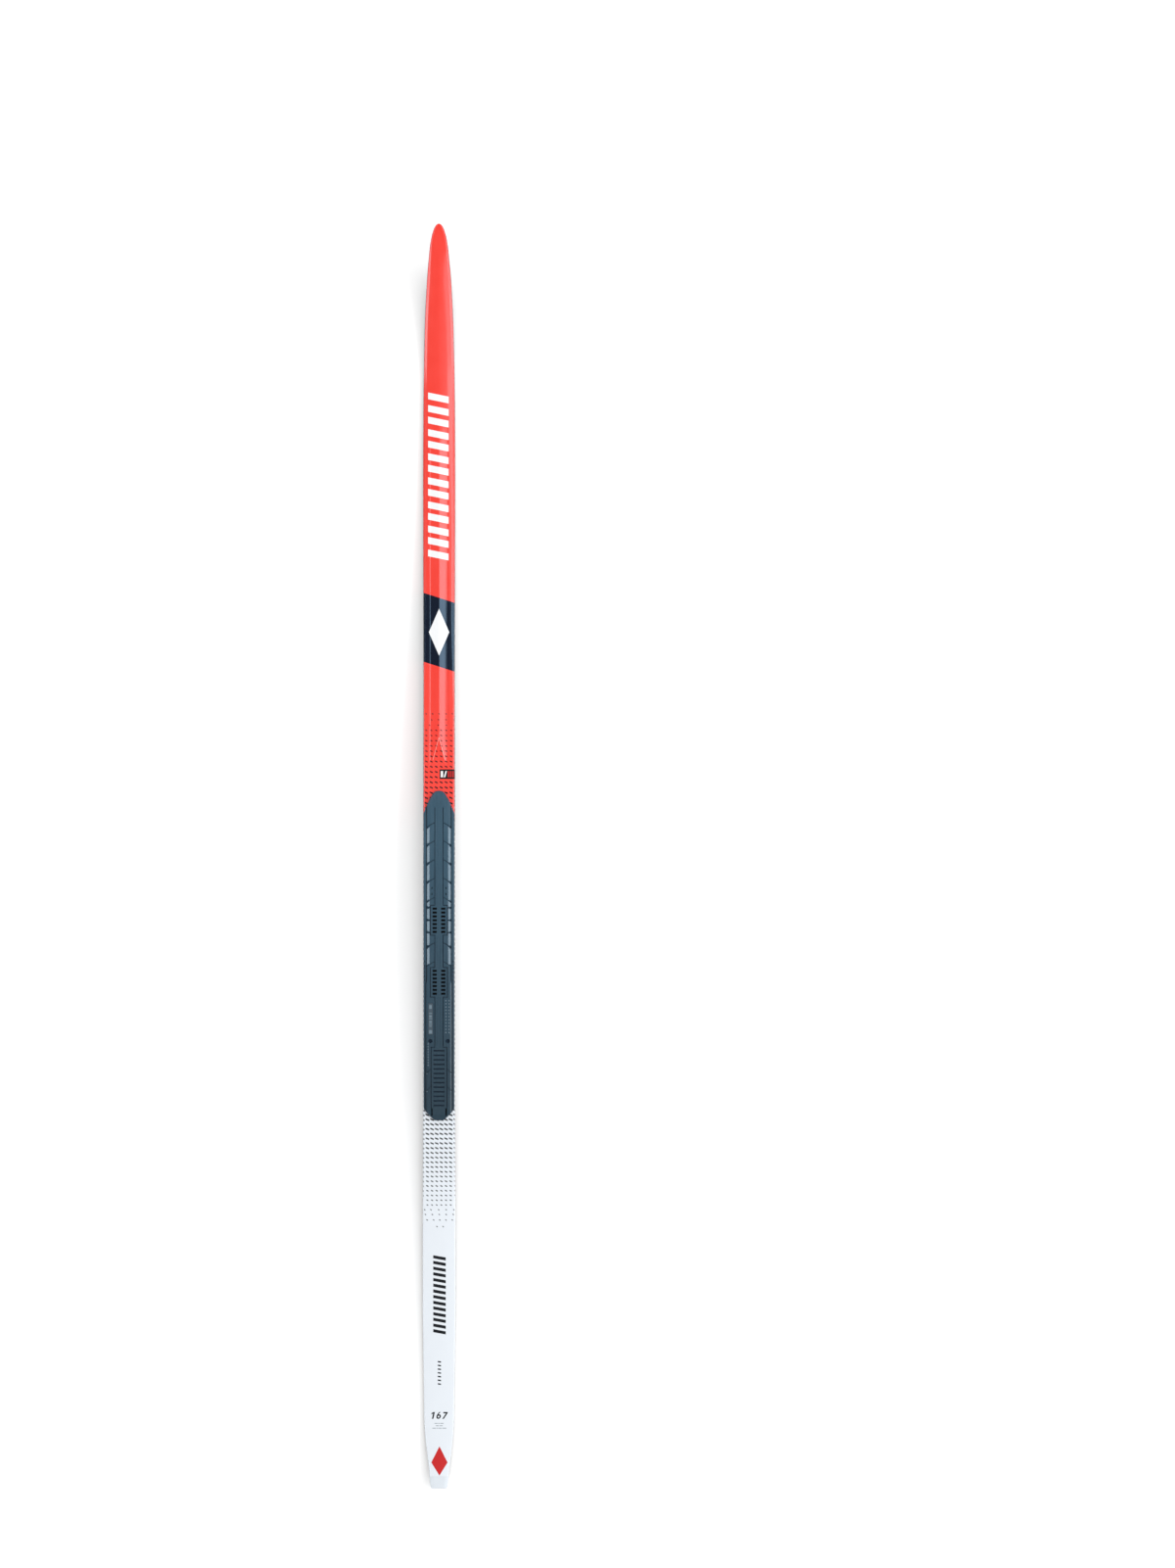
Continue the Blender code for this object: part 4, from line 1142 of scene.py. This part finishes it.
def area_light(name, position, aim, size, power, glossy=True, diffuse=True, colour=(1, 1, 1)):
    lamp = bpy.data.lights.new(name, "AREA")
    lamp.shape = "RECTANGLE"
    lamp.size, lamp.size_y = size
    lamp.energy = power
    lamp.color = colour
    made = bpy.data.objects.new(name, lamp)
    bpy.context.scene.collection.objects.link(made)
    made.location = position
    made.rotation_euler = (Vector(aim) - Vector(position)).to_track_quat("-Z", "Y").to_euler()
    made.visible_camera = False
    made.visible_glossy = glossy
    made.visible_diffuse = diffuse


def build_studio():
    scene = bpy.context.scene
    scene.view_settings.view_transform = "Standard"
    world = bpy.data.worlds.new("studio")
    scene.world = world
    world.use_nodes = True
    background = world.node_tree.nodes["Background"]
    background.inputs["Color"].default_value = (1, 1, 1, 1)
    background.inputs["Strength"].default_value = 1.2
    world.cycles_visibility.glossy = False
    floor = bpy.data.meshes.new("floor")
    corners = [(x * FLOOR_HALF, y * FLOOR_HALF, 0) for x, y in ((-1, -1), (1, -1), (1, 1), (-1, 1))]
    floor.from_pydata(corners, [], [(0, 1, 2, 3)])
    floor.materials.append(material("floor_white", (0.93, 0.93, 0.93), 0.9, 0.01, scale=0.8))
    ground = bpy.data.objects.new("floor", floor)
    scene.collection.objects.link(ground)
    # fill from the right, for the floor and the paint
    area_light("fill", (3.2, 0.1, 2.5), (0, 0, 0), (4.0, 1.6), 80.0, glossy=False)
    # a strip high on the right, mirrored by the cap's right-facing slopes, dimmer for the tip
    for y, length, power in ((1.05, 1.5, 16.3), (-0.75, 2.1, 13.7)):
        area_light("strip", (0.95, y, 3.0), (0, y, 0), (length, 0.8), power, diffuse=False,
                   colour=(0.86, 0.93, 1.0))
    # and a dim ceiling for every other reflection
    area_light("ceiling", (0.0, 0.0, 5.0), (0, 0, 0), (14.0, 14.0), 92.0, diffuse=False)
    # panels on both sides, seen in the rounded edges and the plate's bevelled strips
    for x, y, length, power in ((-2.2, -0.625, 2.35, 46.0), (2.2, 0.0, 3.6, 62.0)):
        area_light("side", (x, y, 2.6), (0, y, 0), (length, 1.0), power, diffuse=False,
                   colour=(0.75, 0.90, 1.0))
    camera = bpy.data.cameras.new("camera")
    camera.sensor_width = SENSOR
    camera.lens = SENSOR * CAMERA_DISTANCE / VIEW_HEIGHT
    camera.clip_end = 500.0
    eye = bpy.data.objects.new("camera", camera)
    eye.location = VIEW_CENTRE + Vector((0, 0, CAMERA_DISTANCE))
    scene.collection.objects.link(eye)
    scene.camera = eye


build_cap()
build_print()
build_layers()
build_guard()
build_plate()
build_plate_print()
paint_kept_nodes()
build_studio()
